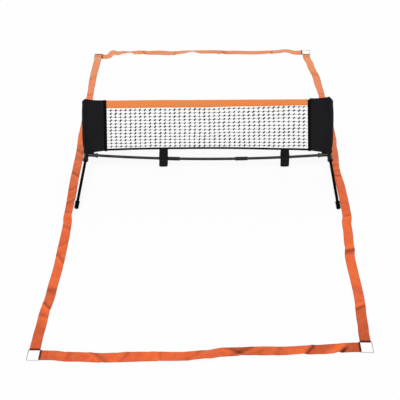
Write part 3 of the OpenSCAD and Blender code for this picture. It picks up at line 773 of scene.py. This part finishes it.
# How sharp a crease is, how strongly its painted light and shade show, and how far beyond its own width
# they reach
CREASE_EDGE, CREASE_SHADING, CREASE_SHADING_REACH = 1.4, 0.14, 1.4
# How dark the painted shade on a loop is, up to this distance from the ring's bar
LOOP_SHADE, LOOP_SHADE_REACH = -1.25, 5 * MM
# How unevenly a tape lies: its ripples, its roll in degrees and its rise off the floor
RIPPLE, ROLL, RISE = 0.8 * MM, 2.5, 1.5 * MM


def crease_height(*where):
    return sum(high * MM * exp(-abs(off) ** CREASE_EDGE) for high, off in from_creases(*where))


def crease_light_and_shade(*where):
    """Painted light before each crease and painted shade after it, as its two slopes would be lit and
    shaded.
    """
    total = 0
    for high, off in from_creases(*where):
        off /= CREASE_SHADING_REACH
        total -= CREASE_SHADING * high * off * exp((1 - off ** 2) / 2)
    return total


def tape_grid(ends, bow, tilt, lift, tone, creases, seed):
    """The middle of a tape's cloth and its tones of painted light and shade, from one end loop to the
    other.
    """
    (n_a, way_a, leave_a), (n_b, way_b, leave_b) = ends
    bar_a, bar_b = bar_of(n_a, way_a), bar_of(n_b, way_b)
    dir_a, dir_b = heading(leave_a), heading(leave_b)
    sewn_a, sewn_b = bar_a + LOOP_SEWN * dir_a, bar_b + LOOP_SEWN * dir_b
    along = sewn_b - sewn_a
    length = hypot(*along)
    across = left_of(along) / length
    places = np.linspace(-TAPE_W / 2, TAPE_W / 2, TAPE_COLUMNS)
    profile = loop_profile()

    def middle(share):
        return clear_of_feet(sewn_a + along * share + across * value_at(bow, share) * MM)

    def loop_rows(bar, leave, sideways):
        return [[(*(bar + leave * off + sideways * t), z) for t in places] for off, z in profile]

    def loop_tones(share):
        """Painted shade round the ring's bar, where the loop turns round it."""
        return [[value_at(tone, share) + (LOOP_SHADE if off < LOOP_SHADE_REACH else 0)] * TAPE_COLUMNS
                for off, _ in profile]

    rows, tones = loop_rows(bar_a, dir_a, left_of(dir_a)), loop_tones(0)
    count = int(length / TAPE_STEP)
    for k in range(count + 1):
        share = k / count
        ahead = middle(min(share + NEARBY, 1)) - middle(max(share - NEARBY, 0))
        sideways = left_of(ahead) / hypot(*ahead)
        point = middle(share)
        calm = smooth_step(0, SETTLE_FIRST, share) * smooth_step(0, SETTLE_LAST, 1 - share)
        s = share * length
        lean = radians(value_at(tilt, share)) + calm * radians(waver(s * 5, seed, 2.5, size=ROLL))
        # Painted light and shade along the tape and at its creases, kept as tones
        heights, painted_shading = [], []
        for t in places:
            ripple = waver(s * 9, t * 12, seed, size=RIPPLE)
            ripple += crease_height(creases, share, t, length)
            heights.append(sin(lean) * t + calm * ripple)
            painted_shading.append(value_at(tone, share) + calm * crease_light_and_shade(creases, share, t, length))
        base = TAPE_T / 2 - min(heights) + calm * value_at(lift, share) * MM
        base += calm * max(0, waver(s * 3, seed, 0.7, size=RISE))
        rows.append([(*(point + sideways * cos(lean) * t), base + high)
                     for t, high in zip(places, heights)])
        tones.append(painted_shading)
    rows += loop_rows(bar_b, dir_b, -left_of(dir_b))[::-1]
    return np.array(rows), np.array(tones + loop_tones(1)[::-1])


def box_stitch(bar, leave):
    """A sewn box with a cross on the flap of an end loop."""
    sideways = left_of(leave)
    near, far, wide = LOOP_NECK + 2 * MM, LOOP_SEWN - 2.5 * MM, TAPE_W / 2 - 4 * MM
    z = 2 * TAPE_T + 0.25 * MM
    spots = [(near, -wide), (far, -wide), (far, wide), (near, wide)]
    corners = [(*(bar + leave * out + sideways * aside), z) for out, aside in spots]
    order = [(0, 1), (1, 2), (2, 3), (3, 0), (0, 2), (1, 3)]
    return [(corners[a], corners[b]) for a, b in order]


# Each tape: which bar of which ring holds each end and how it leaves it, then its lie by the share
# of its length. Tones are painted shade below 0 and painted light above 0. Tilts are in degrees,
# positive where the tape's left edge is up as seen along it; lifts are in millimetres. Creases are
# (share, slant, height, width before, width after) in millimetres, and a valley's height is below 0.
TAPES = {
    "front": dict(
        ends=((0, 0, 0), (1, 180, 180)), bow=FRONT_BOW, seed=1.3,
        tone=[(0, -0.15), (0.06, 0), (0.25, 0), (0.42, 0.3), (0.55, 0), (0.61, -0.35), (0.68, -0.35),
              (0.74, -0.1), (0.82, -0.05), (0.86, -0.4), (1, -0.45)],
        tilt=[(0, 0), (0.1, 3), (0.25, 2), (0.42, -6), (0.58, -5), (0.64, -12), (0.7, -3), (0.77, -5),
              (0.81, -9), (0.86, -3), (0.93, 3), (1, 0)],
        lift=[(0, 0), (1, 0)],
        creases=[(0.06, 0.5, 2, 10, 8), (0.16, -1.2, 3.5, 8, 14), (0.245, 0.9, 3, 14, 8),
                 (0.335, 0.5, 2, 8, 8), (0.366, -0.15, 3.5, 12, 5), (0.49, 1.6, -3, 14, 12),
                 (0.605, -1.6, 3.5, 20, 14), (0.65, 1.8, -3.5, 16, 18), (0.75, 0.5, 1.5, 14, 8),
                 (0.853, 0.94, 6, 18, 7), (0.974, 1.35, 12, 20, 9)]),
    "back": dict(
        ends=((2, 0, 0), (3, 180, 180)), bow=BACK_BOW, seed=4.1,
        tone=[(0, 0), (0.2, 0), (0.25, -0.15), (0.4, 0), (0.6, -0.15), (1, 0)],
        tilt=[(0, 0), (0.04, 6), (0.08, -8), (0.115, -28), (0.15, -6), (0.3, 4), (0.4, -10),
              (0.45, -24), (0.5, -6), (0.7, -6), (0.84, -8), (0.94, -8), (1, 0)],
        lift=[(0, 4), (0.03, 16), (0.07, 6), (0.12, 0), (1, 0)],
        creases=[(0.1, 0.8, 5, 10, 5), (0.18, -0.6, 4, 6, 12), (0.35, 0.5, 3, 14, 6),
                 (0.6, -0.5, 4, 6, 12), (0.86, 0.6, 4, 12, 5)]),
    "left": dict(
        ends=((0, 90, 90), (2, 90, 270)), bow=LEFT_BOW, seed=7.7,
        tone=[(0, -0.15), (0.025, -0.3), (0.05, 0), (0.1, -0.15), (0.13, -0.2), (0.15, 0.15),
              (0.2, 0.2), (0.26, -0.05), (0.34, 0.1), (0.37, -0.25), (0.4, -0.25), (0.43, -0.1),
              (0.45, 0.1), (0.47, -0.25), (0.505, -0.2), (0.52, 0.2), (0.54, -0.3), (0.585, -0.3),
              (0.61, 0.4), (0.64, 0.9), (0.7, 0), (1, 0)],
        tilt=[(0, 0), (0.1, -4), (0.25, 2), (0.35, -19), (0.42, -4), (0.6, 3), (0.75, -6),
              (0.82, -22), (0.88, -8), (0.94, 0), (1, 0)],
        lift=[(0, 0), (1, 0)],
        creases=[(0.06, 0.4, 2.5, 8, 8), (0.085, 0.8, 5, 10, 6), (0.135, 0.1, -3.5, 12, 14),
                 (0.207, 1.4, 4.5, 8, 12), (0.25, -0.7, 2.5, 12, 7), (0.3, 0.8, 2.5, 10, 8),
                 (0.345, 0.6, 3, 8, 8), (0.39, -0.7, -4, 8, 7), (0.425, -0.8, 4, 8, 7),
                 (0.475, 0.9, 4, 8, 8), (0.515, -0.7, 3, 6, 7), (0.56, 0.8, 3, 8, 8),
                 (0.64, -0.8, 3, 10, 6), (0.8, 0.5, 4, 12, 7), (0.88, -0.6, 3, 6, 12)]),
    "right": dict(
        ends=((1, 90, 90), (3, 270, 270)), bow=RIGHT_BOW, seed=2.9,
        tone=[(0, -0.45), (0.06, -0.3), (0.08, 0.05), (0.115, -0.1), (0.15, 0.45), (0.22, 0.1),
              (0.3, 0.3), (0.36, 0), (0.4, 0.25), (0.45, -0.1), (0.6, 0.15), (1, 0)],
        tilt=[(0, 0), (0.1, 3), (0.2, -3), (0.35, 6), (0.5, -3), (0.62, 5), (0.76, 6), (0.8, 20),
              (0.86, 6), (0.94, 2), (1, 0)],
        lift=[(0, 0), (1, 0)],
        creases=[(0.072, -0.58, -5, 6, 8), (0.14, 0.8, 2, 12, 7), (0.228, -0.35, -7, 12, 12),
                 (0.3, 0.7, 2, 10, 8), (0.325, -0.6, 4, 9, 6), (0.4, 0.8, 2, 12, 8),
                 (0.463, 0.2, 5, 9, 5), (0.488, -0.3, -3, 6, 6), (0.51, -0.3, -4.5, 6, 6),
                 (0.56, -0.5, 2, 12, 7), (0.63, 0.8, 3, 6, 12), (0.8, -0.6, 4, 12, 7),
                 (0.9, 0.6, 3, 6, 12)]),
}


def make_tapes():
    columns = np.linspace(-TAPE_W / 2, TAPE_W / 2, TAPE_COLUMNS)
    for name, lie in TAPES.items():
        grid, tones = tape_grid(**lie)
        cloth = thick_sheet(grid, TAPE_T - 0.1 * MM, across=columns)
        piece = new_piece(f"court_webbing_{name}", [cloth], "webbing", sheet_tones(tones))
        settle(piece, "webbing", f"tape_{name}")
        lines = []
        for ring, way, leave in lie["ends"]:
            lines += box_stitch(bar_of(ring, way), heading(leave))
        stitches(f"loop_stitches_{name}", lines, "orange thread", "webbing")


# ---------------------------------------------------------------- net: band, netting, hem, bindings

# The band's and the hem's cloth, how far its fold and its free edges stand off the netting's
# middle, and into how many steps a strip is laid
CLOTH_T = 0.65 * MM
FOLD_R, EDGE_STAND = 1.35 * MM, 0.95 * MM
STRIP_ROWS = 190
# How far the band's free edge is drawn up along the net, in millimetres, and its fold
BAND_DRAWN = [(-1, -2.5), (-0.1, 0.5), (0.4, 7), (1, 13)]
BAND_TILT = 2 * MM


def band_low(x):
    return BAND_BOTTOM + value_at(BAND_DRAWN, x / NET_HALF_TOP) * MM


def band_high(x):
    return NET_TOP + BAND_TILT * x / NET_HALF_TOP


def net_sway(x, z):
    """How far the whole net hangs out of its plane."""
    hold = smooth_step(0, 0.12, NET_HALF_TOP - abs(x))
    return hold * waver(x * 3.1, z * 2.2, 0.4, size=1.3 * MM)


def folded_strip(xs, fold_z, free_z, bulge):
    """Cloth folded round an edge: rows along X, columns from the front's free edge to the back's.

    fold_z and free_z are functions of x. The free edges lie against the netting.
    """
    shares = np.linspace(0, 1, 9)
    rows = []
    for x in xs:
        top, free = fold_z(x), free_z(x)
        up = 1 if top > free else -1
        shoulder = top - up * FOLD_R
        flank = [(between(EDGE_STAND, FOLD_R, s) + bulge(x, s), between(free, shoulder, s))
                 for s in shares]
        arc = [(FOLD_R * cos(a), shoulder + up * FOLD_R * sin(a))
               for a in np.linspace(0, pi, 7)[1:-1]]
        path = [(-y, z) for y, z in flank + arc] + flank[::-1]
        rows.append([(x, y + net_sway(x, z), z) for y, z in path])
    return np.array(rows)


def make_band():
    half_top, half_low = net_half(NET_TOP), net_half(BAND_BOTTOM)
    ends = between(half_top, half_low, 0.2) + SEAM_IN
    xs = np.linspace(-ends, ends, STRIP_ROWS)

    def puff(x, s):
        return sin(pi * s) * (0.25 * MM + waver(x * 14, s * 2, 5.5, size=0.3 * MM))

    grid = folded_strip(xs, lambda x: band_high(x) + waver(x * 5, 8.8, 0.3, size=0.5 * MM),
                        lambda x: band_low(x) + waver(x * 17, 3.3, 0.3, size=0.4 * MM), puff)
    grid = in_net(grid)
    piece = new_piece("top_band_cloth", [thick_sheet(grid, CLOTH_T)], "band")
    settle(piece, "band_cloth", "top_band")
    lines = [over_face(grid, CLOTH_T, column=c, side=-1) for c in (1, grid.shape[1] - 2)]
    stitches("band_stitches", lines, "orange thread", "band_cloth")


def make_hem():
    half = net_half(NET_BOTTOM + HEM_H) + SEAM_IN - 0.5 * MM
    xs = np.linspace(-half, half, STRIP_ROWS)
    grid = folded_strip(xs, hem_z, lambda x: hem_z(x) + HEM_H,
                        lambda x, s: sin(pi * s) * waver(x * 20, s, 1.5, size=0.12 * MM))
    grid = in_net(grid)
    piece = new_piece("hem_tape", [thick_sheet(grid, CLOTH_T)], "binding")
    settle(piece, "binding_cloth", "bottom_hem")
    lines = [over_face(grid, CLOTH_T, column=c) for c in (2, grid.shape[1] - 3)]
    stitches("hem_stitches", lines, "black thread", "binding_cloth")


BINDING_T = 1 * MM
# How far a binding hangs below the net, and the height of its fold over the top
BINDING_TAIL, BINDING_FOLD = 3 * MM, 2 * MM


def make_binding(name, side):
    """Ribbed tape up the front of the seam, over its top and down the back."""
    low, high = NET_BOTTOM - BINDING_TAIL, NET_TOP + 0.5 * MM
    shoulder = high - BINDING_FOLD
    rise = [(-1, z) for z in np.linspace(low, shoulder, 90)]
    over = [(-cos(a), shoulder + BINDING_FOLD * sin(a)) for a in np.linspace(0, pi, 9)[1:-1]]
    path = rise + over + [(1, z) for _, z in rise[::-1]]
    shares = np.linspace(0, 1, 7)
    rows = []
    for sign, z in path:
        row = []
        for share in shares:
            stand = between(1.5 * MM, 2.3 * MM, sin(pi * min(share + 0.15, 1) * 0.75))
            stand += waver(z * 30, share * 2, side, size=0.12 * MM)
            row.append((net_half(z) + BINDING_W * share, sign * stand, z))
        rows.append(row)
    grid = np.array(rows)
    if side < 0:
        grid = grid[:, ::-1]
    grid = in_net(grid, side)
    across = np.linspace(-BINDING_W / 2, BINDING_W / 2, len(shares))
    piece = new_piece(f"binding_tape_{name}", [thick_sheet(grid, BINDING_T, across=across)], "binding")
    settle(piece, "binding_cloth", f"binding_{name}")
    lines = [over_face(grid, BINDING_T, column=c) for c in (1, len(shares) - 2)]
    stitches(f"binding_stitches_{name}", lines, "black thread", "binding_cloth")


NET_COLUMNS, NET_KNOT_ROWS = 41, 12
# Distance of the first and the last row of knots from the band and from the hem, in millimetres
FIRST_ROW = [(-1, 16), (0, 14), (1, 11)]
LAST_ROW = [(-1, 15), (0, 11), (1, 20)]


def netting_z(u, row):
    """Height of a row: 0 inside the band, then the rows of knots, and the last inside the hem."""
    x = u * NET_HALF_BOTTOM
    hem = hem_z(x) + HEM_H
    if row == 0:
        return band_low(x) + SEAM_IN
    if row > NET_KNOT_ROWS:
        return hem - SEAM_IN
    first = band_low(x) - value_at(FIRST_ROW, u) * MM
    return between(first, hem + value_at(LAST_ROW, u) * MM, (row - 1) / (NET_KNOT_ROWS - 1))


def make_netting():
    """Knotted twine, sewn into the band, the hem and both bindings."""
    points, edges = [], []
    for j in range(NET_KNOT_ROWS + 2):
        free = 0 < j <= NET_KNOT_ROWS
        for i in range(NET_COLUMNS + 1):
            u = 2 * i / NET_COLUMNS - 1
            z = netting_z(u, j)
            x = u * (net_half(z) + SEAM_IN * 0.7)
            if free:
                x += smooth_step(1, 0.9, abs(u)) * waver(x * 9, z * 11, 2.2, size=2.4 * MM)
                z += waver(x * 8, z * 13, 6.1, size=1.6 * MM)
            points.append((x, net_sway(x, z), z))
            here = j * (NET_COLUMNS + 1) + i
            if i:
                edges.append((here - 1, here))
            if j:
                edges.append((here - NET_COLUMNS - 1, here))
    piece = grown("netting", in_net(points).tolist(), edges, "netting",
                  {"Twine": 1.3 * MM, "Knot Width": 8.4 * MM, "Knot Length": 18 * MM,
                   "Knot Slant": 0.62, "Slack": 1.4 * MM, "Seed": 5, "Material": MATERIALS["twine"]})
    settle(piece, "twine", "net_mesh")


# ---------------------------------------------------------------- end panels

PANEL_CLOTH = 0.7 * MM
# Steps of the panel up and down, across each flat side and round the sleeve
PANEL_ROWS, FLAT_COLUMNS, SLEEVE_COLUMNS = 90, 27, 25
# The share of the panel's height that lies below the pocket's dome, and of its rows
DOME_SHARE, ROWS_BELOW = 0.955, 0.88
# How far the dome's centre is beyond the pole's end, and the seam beside the sleeve
CAP_RISE, SEAM_OFF = 3 * MM, 6 * MM
# Half the distance between the two sides where they are sewn together, and over the hub's web
SEWN_HALF, WEB_HALF = 0.55 * MM, 2.8 * MM
# The rows along which the panel's cloth is hemmed
HEMMED_ROWS = (3, PANEL_ROWS - 9)
# How much higher each panel's cloth reaches than the net, and how much looser it lies at the top
PANEL_LIFT = {-1: 0, 1: 9 * MM}
PANEL_LOOSE = {-1: 0, 1: 3.5 * MM}
# How far the cloth hangs down beside the hub, over its web
PANEL_TAIL = 8 * MM
# The pocket at the corner: its outside radius, how far above the cap's centre its slanting cut
# starts, and how far round to each side the cut is straight
POCKET_R, POCKET_RISE, POCKET_CUT = 12.6 * MM, 0.8 * MM, radians(60)
# How loosely the sleeve lies round the pole: height in metres, then millimetres
SLEEVE_SLACK = [(0.13, 0), (0.19, 2.7), (0.22, 2.2), (0.25, 1.2), (0.3, -0.9), (0.36, -0.8),
                (0.42, 0.8), (0.47, 1.5)]


def panel_grid(side):
    """One cloth folded round the upright: columns from the front's inner edge to the back's."""
    end_x, end_z = upright_x(HUB_Z + UPRIGHT_RISE), HUB_Z + UPRIGHT_RISE
    centre_x = end_x - CAP_RISE * sin(UPRIGHT_END)
    centre_z = end_z + CAP_RISE * cos(UPRIGHT_END)
    inner_x = net_half(NET_BOTTOM) + BINDING_W - SEAM_IN
    flats = np.linspace(0, 1, FLAT_COLUMNS)
    slants = (0.2, 0.4, 0.6, 0.8)
    lift, looser = PANEL_LIFT[side], PANEL_LOOSE[side]
    pocket_r = POCKET_R + looser

    def sleeve_r(z):
        loose = SLEEVE_R - 0.35 * MM + value_at(SLEEVE_SLACK, z) * MM
        loose += looser * smooth_step(0.24, 0.38, z)
        return between(COLLAR_R + 0.9 * MM, loose, smooth_step(PANEL_FOOT_Z + 8 * MM,
                                                               PANEL_FOOT_Z + 26 * MM, z))

    def seam_off(z):
        return sleeve_r(z) + SEAM_OFF

    def flat_point(q, v):
        edge = between(inner_x, HALF_SPAN - seam_off(NET_BOTTOM), q)
        drop = min((edge - inner_x) / (HALF_SPAN - PANEL_FOOT_W - inner_x), 1)
        tail = smooth_step(-PANEL_FOOT_W - 3 * MM, 2 * MM - PANEL_FOOT_W, edge - HALF_SPAN)
        low = between(NET_BOTTOM, PANEL_FOOT_Z, drop) - PANEL_TAIL * tail
        top = NET_TOP + lift + (PANEL_PEAK - 1 * MM) * q ** 2.4 - 1.2 * MM * sin(pi * q)
        z = between(low, top, v)
        x = between(net_half(z) + BINDING_W - SEAM_IN, upright_x(min(z, end_z)) - seam_off(z), q)
        hold = sin(pi * q) ** 0.7 * smooth_step(0, 0.06, v) * smooth_step(0, 0.06, 1 - v)
        over_web = smooth_step(PANEL_FOOT_Z + 14 * MM, PANEL_FOOT_Z, z) * tail
        half = max(SEWN_HALF + hold * 0.9 * MM, between(SEWN_HALF, WEB_HALF, over_web))
        wave = hold * panel_wave(x, z, side)
        return x, half, z, wave

    def corner_outline(angle):
        """Where the cloth round the cap closes above an angle: along a slanting cut up to the peak."""
        low_z, peak_z = centre_z + POCKET_RISE, NET_TOP + PANEL_PEAK + lift
        x = pocket_r * cos(angle)
        if abs(angle) < POCKET_CUT:
            x = between(pocket_r, pocket_r / 2, abs(angle) / POCKET_CUT)
        reach = min((pocket_r - x) / (pocket_r + PANEL_CORNER), 1)
        return x, between(low_z, peak_z, reach)

    def pole_point(angle, v):
        if v < DOME_SHARE:
            z = between(PANEL_FOOT_Z, centre_z, v / DOME_SHARE)
            r = between(sleeve_r(z), pocket_r, smooth_step(centre_z - 20 * MM, centre_z - 4 * MM, z))
            return upright_x(min(z, end_z)) + r * cos(angle), r * sin(angle), z
        rise = radians(90) * (v - DOME_SHARE) / (1 - DOME_SHARE)
        x, z = corner_outline(angle)
        layer = copysign(0.45 * MM, angle) if angle else 0
        return (centre_x + between(pocket_r * cos(angle), x, 1 - cos(rise)),
                pocket_r * sin(angle) * cos(rise) + layer * sin(rise),
                between(centre_z, z, sin(rise)))

    rows = []
    for k in range(PANEL_ROWS + 1):
        share = k / PANEL_ROWS
        if share < ROWS_BELOW:
            v = share * DOME_SHARE / ROWS_BELOW
        else:
            v = between(DOME_SHARE, 1, (share - ROWS_BELOW) / (1 - ROWS_BELOW))
        front, back = [], []
        for q in flats:
            x, half, z, wave = flat_point(q, v)
            front.append((x, wave - half, z))
            back.append((x, wave + half, z))
        z_here = front[-1][2]
        open_half = acos(sleeve_r(z_here) / seam_off(z_here))
        angles = np.linspace(-(pi - open_half), pi - open_half, SLEEVE_COLUMNS)
        arc = [pole_point(angle, v) for angle in angles]
        lead = [tuple(between(np.array(front[-1]), np.array(arc[0]), s)) for s in slants]
        tail = [tuple(between(np.array(arc[-1]), np.array(back[-1]), s)) for s in slants]
        rows.append(front + lead + arc + tail + back[::-1])
    return np.array(rows)


def panel_wave(x, z, side):
    """Shallow pulls from the pole's top towards the net's bottom corner, and uneven slack."""
    reach, height = (HALF_SPAN - x), (z - NET_BOTTOM)
    pull = sin((reach * 0.9 + height * 0.35) * 70 + side) * 0.35 * MM
    slack = waver(x * 13, z * 9, 3 * side, size=1.1 * MM)
    return pull * smooth_step(0.36, 0.1, height) + slack


def make_panel(name, side):
    grid = panel_grid(side)
    columns = grid.shape[1]
    if side > 0:
        grid = grid[:, ::-1]
    grid = in_net(grid, side)
    piece = new_piece(f"end_panel_cloth_{name}", [thick_sheet(grid, PANEL_CLOTH)], "panel")
    settle(piece, "panel_cloth", f"end_panel_{name}")
    middle = PANEL_ROWS // 2
    outside = side_towards(grid, 0, grid[middle, 0] - grid[middle, -1])
    lines = [over_face(grid, PANEL_CLOTH, column=c, side=outside)[2:-8]
             for c in (FLAT_COLUMNS - 1, columns - FLAT_COLUMNS)]
    for row in HEMMED_ROWS:
        line = over_face(grid, PANEL_CLOTH, row=row, side=outside)
        lines += [line[1:FLAT_COLUMNS], line[columns - FLAT_COLUMNS:-1]]
    stitches(f"panel_stitches_{name}", lines, "black thread", "panel_cloth")


# ---------------------------------------------------------------- straps

STRAP_T = 1.5 * MM
STRAP_CLOTH = STRAP_T - 0.1 * MM
STRAP_CORNER = 9 * MM
STRAP_LEAN = 4 * MM
# The rows along which a strap is sewn to the hem
SEWN_ROWS = (2, 6)


def smooth_path(points, steps):
    """Points on a smooth curve through the given ones (Catmull-Rom)."""
    points = [np.array(p, float) for p in points]
    points = [2 * points[0] - points[1], *points, 2 * points[-1] - points[-2]]
    path = []
    for a, b, c, d in zip(points, points[1:], points[2:], points[3:]):
        for t in np.linspace(0, 1, steps, endpoint=False):
            path.append(0.5 * (2 * b + (c - a) * t + (2 * a - 5 * b + 4 * c - d) * t ** 2
                               + (3 * b - a - 3 * c + d) * t ** 3))
    path.append(points[-2])
    return path


def make_strap(name):
    """Hook and loop tape sewn over the hem, round the crossbar and pressed together below it."""
    middle = STRAP_X[name]
    outwards = copysign(1, middle)
    hem, bar = hem_z(middle), bar_z(middle)
    stand = STRAP_OPEN + STRAP_T / 2
    parts, lines = [], []
    for sign in (-1, 1):
        end_z = STRAP_END_Z if sign < 0 else STRAP_END_Z + 4 * MM
        # How far this half stands off the net's plane and how high: down from the hem, round the
        # crossbar, then pressed against the other half
        path = smooth_path([(2.5 * MM, hem + 7.5 * MM), (2.5 * MM, hem + 1 * MM),
                            (4.4 * MM, hem - 16 * MM), (stand - 1.4 * MM, bar + 17 * MM),
                            (stand, bar + 5 * MM), (stand - 0.6 * MM, bar - 5 * MM),
                            (3.2 * MM, bar - 14 * MM), (0.85 * MM, bar - 22 * MM),
                            (0.8 * MM, between(bar - 22 * MM, end_z, 0.5)), (0.8 * MM, end_z)], 8)
        rows = []
        for y, z in path:
            from_end = min(z - end_z, STRAP_CORNER)
            square = STRAP_CORNER - sqrt(max(STRAP_CORNER ** 2 - (STRAP_CORNER - from_end) ** 2, 0))
            gather = 1 - 0.07 * smooth_step(hem - 30 * MM, hem, z)
            half = STRAP_W / 2 * gather - square
            lean = outwards * STRAP_LEAN * between(1, -1, (z - end_z) / (hem - end_z))
            shift = lean + waver(z * 25, sign, 9.1, size=0.5 * MM)
            ripple = waver(z * 60, sign, 4.4, size=0.35 * MM)
            rows.append([(middle + half * t + shift,
                          sign * (y + ripple * smooth_step(STRAP_END_Z, 40 * MM, z)
                                  + 0.25 * MM * cos(2.2 * t)), z + 0.4 * MM * t)
                         for t in np.linspace(-1, 1, 11)])
        grid = np.array(rows)
        if sign < 0:
            grid = grid[:, ::-1]
        grid = in_net(grid)
        parts.append(thick_sheet(grid, STRAP_CLOTH))
        outside = side_towards(grid, 5, (0, sign, 0))
        lines += [over_face(grid, STRAP_CLOTH, row=row, side=outside)[1:-1] for row in SEWN_ROWS]
    piece = new_piece(f"hook_loop_strap_{name}", parts, "fleece")
    settle(piece, "hook_loop", f"strap_{name}")
    stitches(f"strap_stitches_{name}", lines, "black thread", "hook_loop", thickness=0.8 * MM)


# ---------------------------------------------------------------- solids that stay in view

def finish_solids():
    """Gives the rigid solids their materials, by the first word of their names."""
    kinds = {"hub": "hub", "leg": "pole", "foot": "rubber", "crossbar": "bar", "ferrule": "ferrule",
             "shock": "cord", "upright": "pole", "tip": "rubber", "ring": "wire"}
    for name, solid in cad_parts.items():
        kind = kinds.get(name.split("_")[0])
        if kind:
            for slot in solid.material_slots:
                slot.material = MATERIALS[kind]


# ---------------------------------------------------------------- stage

FLOOR_HALF, FLOOR_Z = 30, -0.2 * MM
FLOOR_COLOUR = (0.93, 0.93, 0.93, 1)
WHITE = (1, 1, 1, 1)
FLOOR_GLOW = 0.86


def empty_tree(owner):
    owner.use_nodes = True
    owner.node_tree.nodes.clear()
    return owner.node_tree


def add_stage():
    """A plain pale floor that shows white to the camera and still takes the set's shadow."""
    mesh = bpy.data.meshes.new("floor")
    corners = [(x * FLOOR_HALF, y * FLOOR_HALF, FLOOR_Z)
               for x, y in ((-1, -1), (1, -1), (1, 1), (-1, 1))]
    mesh.from_pydata(corners, [], [(0, 1, 2, 3)])
    material = bpy.data.materials.new("pale floor")
    tree = empty_tree(material)
    paint = made(tree, "ShaderNodeBsdfDiffuse", {"Color": FLOOR_COLOUR})
    glow = made(tree, "ShaderNodeEmission", {"Color": WHITE, "Strength": 1.0})
    share = calculate(tree, "MULTIPLY", seen_directly(tree), FLOOR_GLOW)
    mix = made(tree, "ShaderNodeMixShader", {0: share, 1: paint, 2: glow})
    add(tree, "ShaderNodeOutputMaterial", {0: mix})
    mesh.materials.append(material)
    new_object("floor", mesh)


def seen_directly(tree):
    """1 for rays from the camera and for mirror and glass rays."""
    path = add(tree, "ShaderNodeLightPath").outputs
    either = calculate(tree, "MAXIMUM", path["Is Camera Ray"], path["Is Glossy Ray"])
    return calculate(tree, "MAXIMUM", either, path["Is Transmission Ray"])


SKY_LIGHT = 0.64
KEY_LIGHT, KEY_SPREAD = 1.3, radians(35)
KEY_AIM = Vector((0.14, 0.5, -1))


def add_light():
    """An even pale surround and one broad lamp from above the front."""
    world = bpy.data.worlds.new("studio")
    bpy.context.scene.world = world
    tree = empty_tree(world)
    strength = made(tree, "ShaderNodeMix", {0: seen_directly(tree), 2: SKY_LIGHT, 3: 1.0},
                    data_type="FLOAT")
    sky = made(tree, "ShaderNodeBackground", {"Color": WHITE, "Strength": strength})
    add(tree, "ShaderNodeOutputWorld", {0: sky})
    data = bpy.data.lights.new("key", "SUN")
    data.energy = KEY_LIGHT
    data.angle = KEY_SPREAD
    lamp = new_object("key", data)
    lamp.rotation_euler = KEY_AIM.to_track_quat("-Z", "Y").to_euler()


# ---------------------------------------------------------------- the set

add_camera()
make_tapes()
make_band()
make_hem()
make_netting()
for place, direction in (("left", -1), ("right", 1)):
    make_binding(place, direction)
    make_panel(place, direction)
    make_strap(place)
finish_solids()
add_stage()
add_light()
bpy.context.scene.view_settings.view_transform = "Standard"
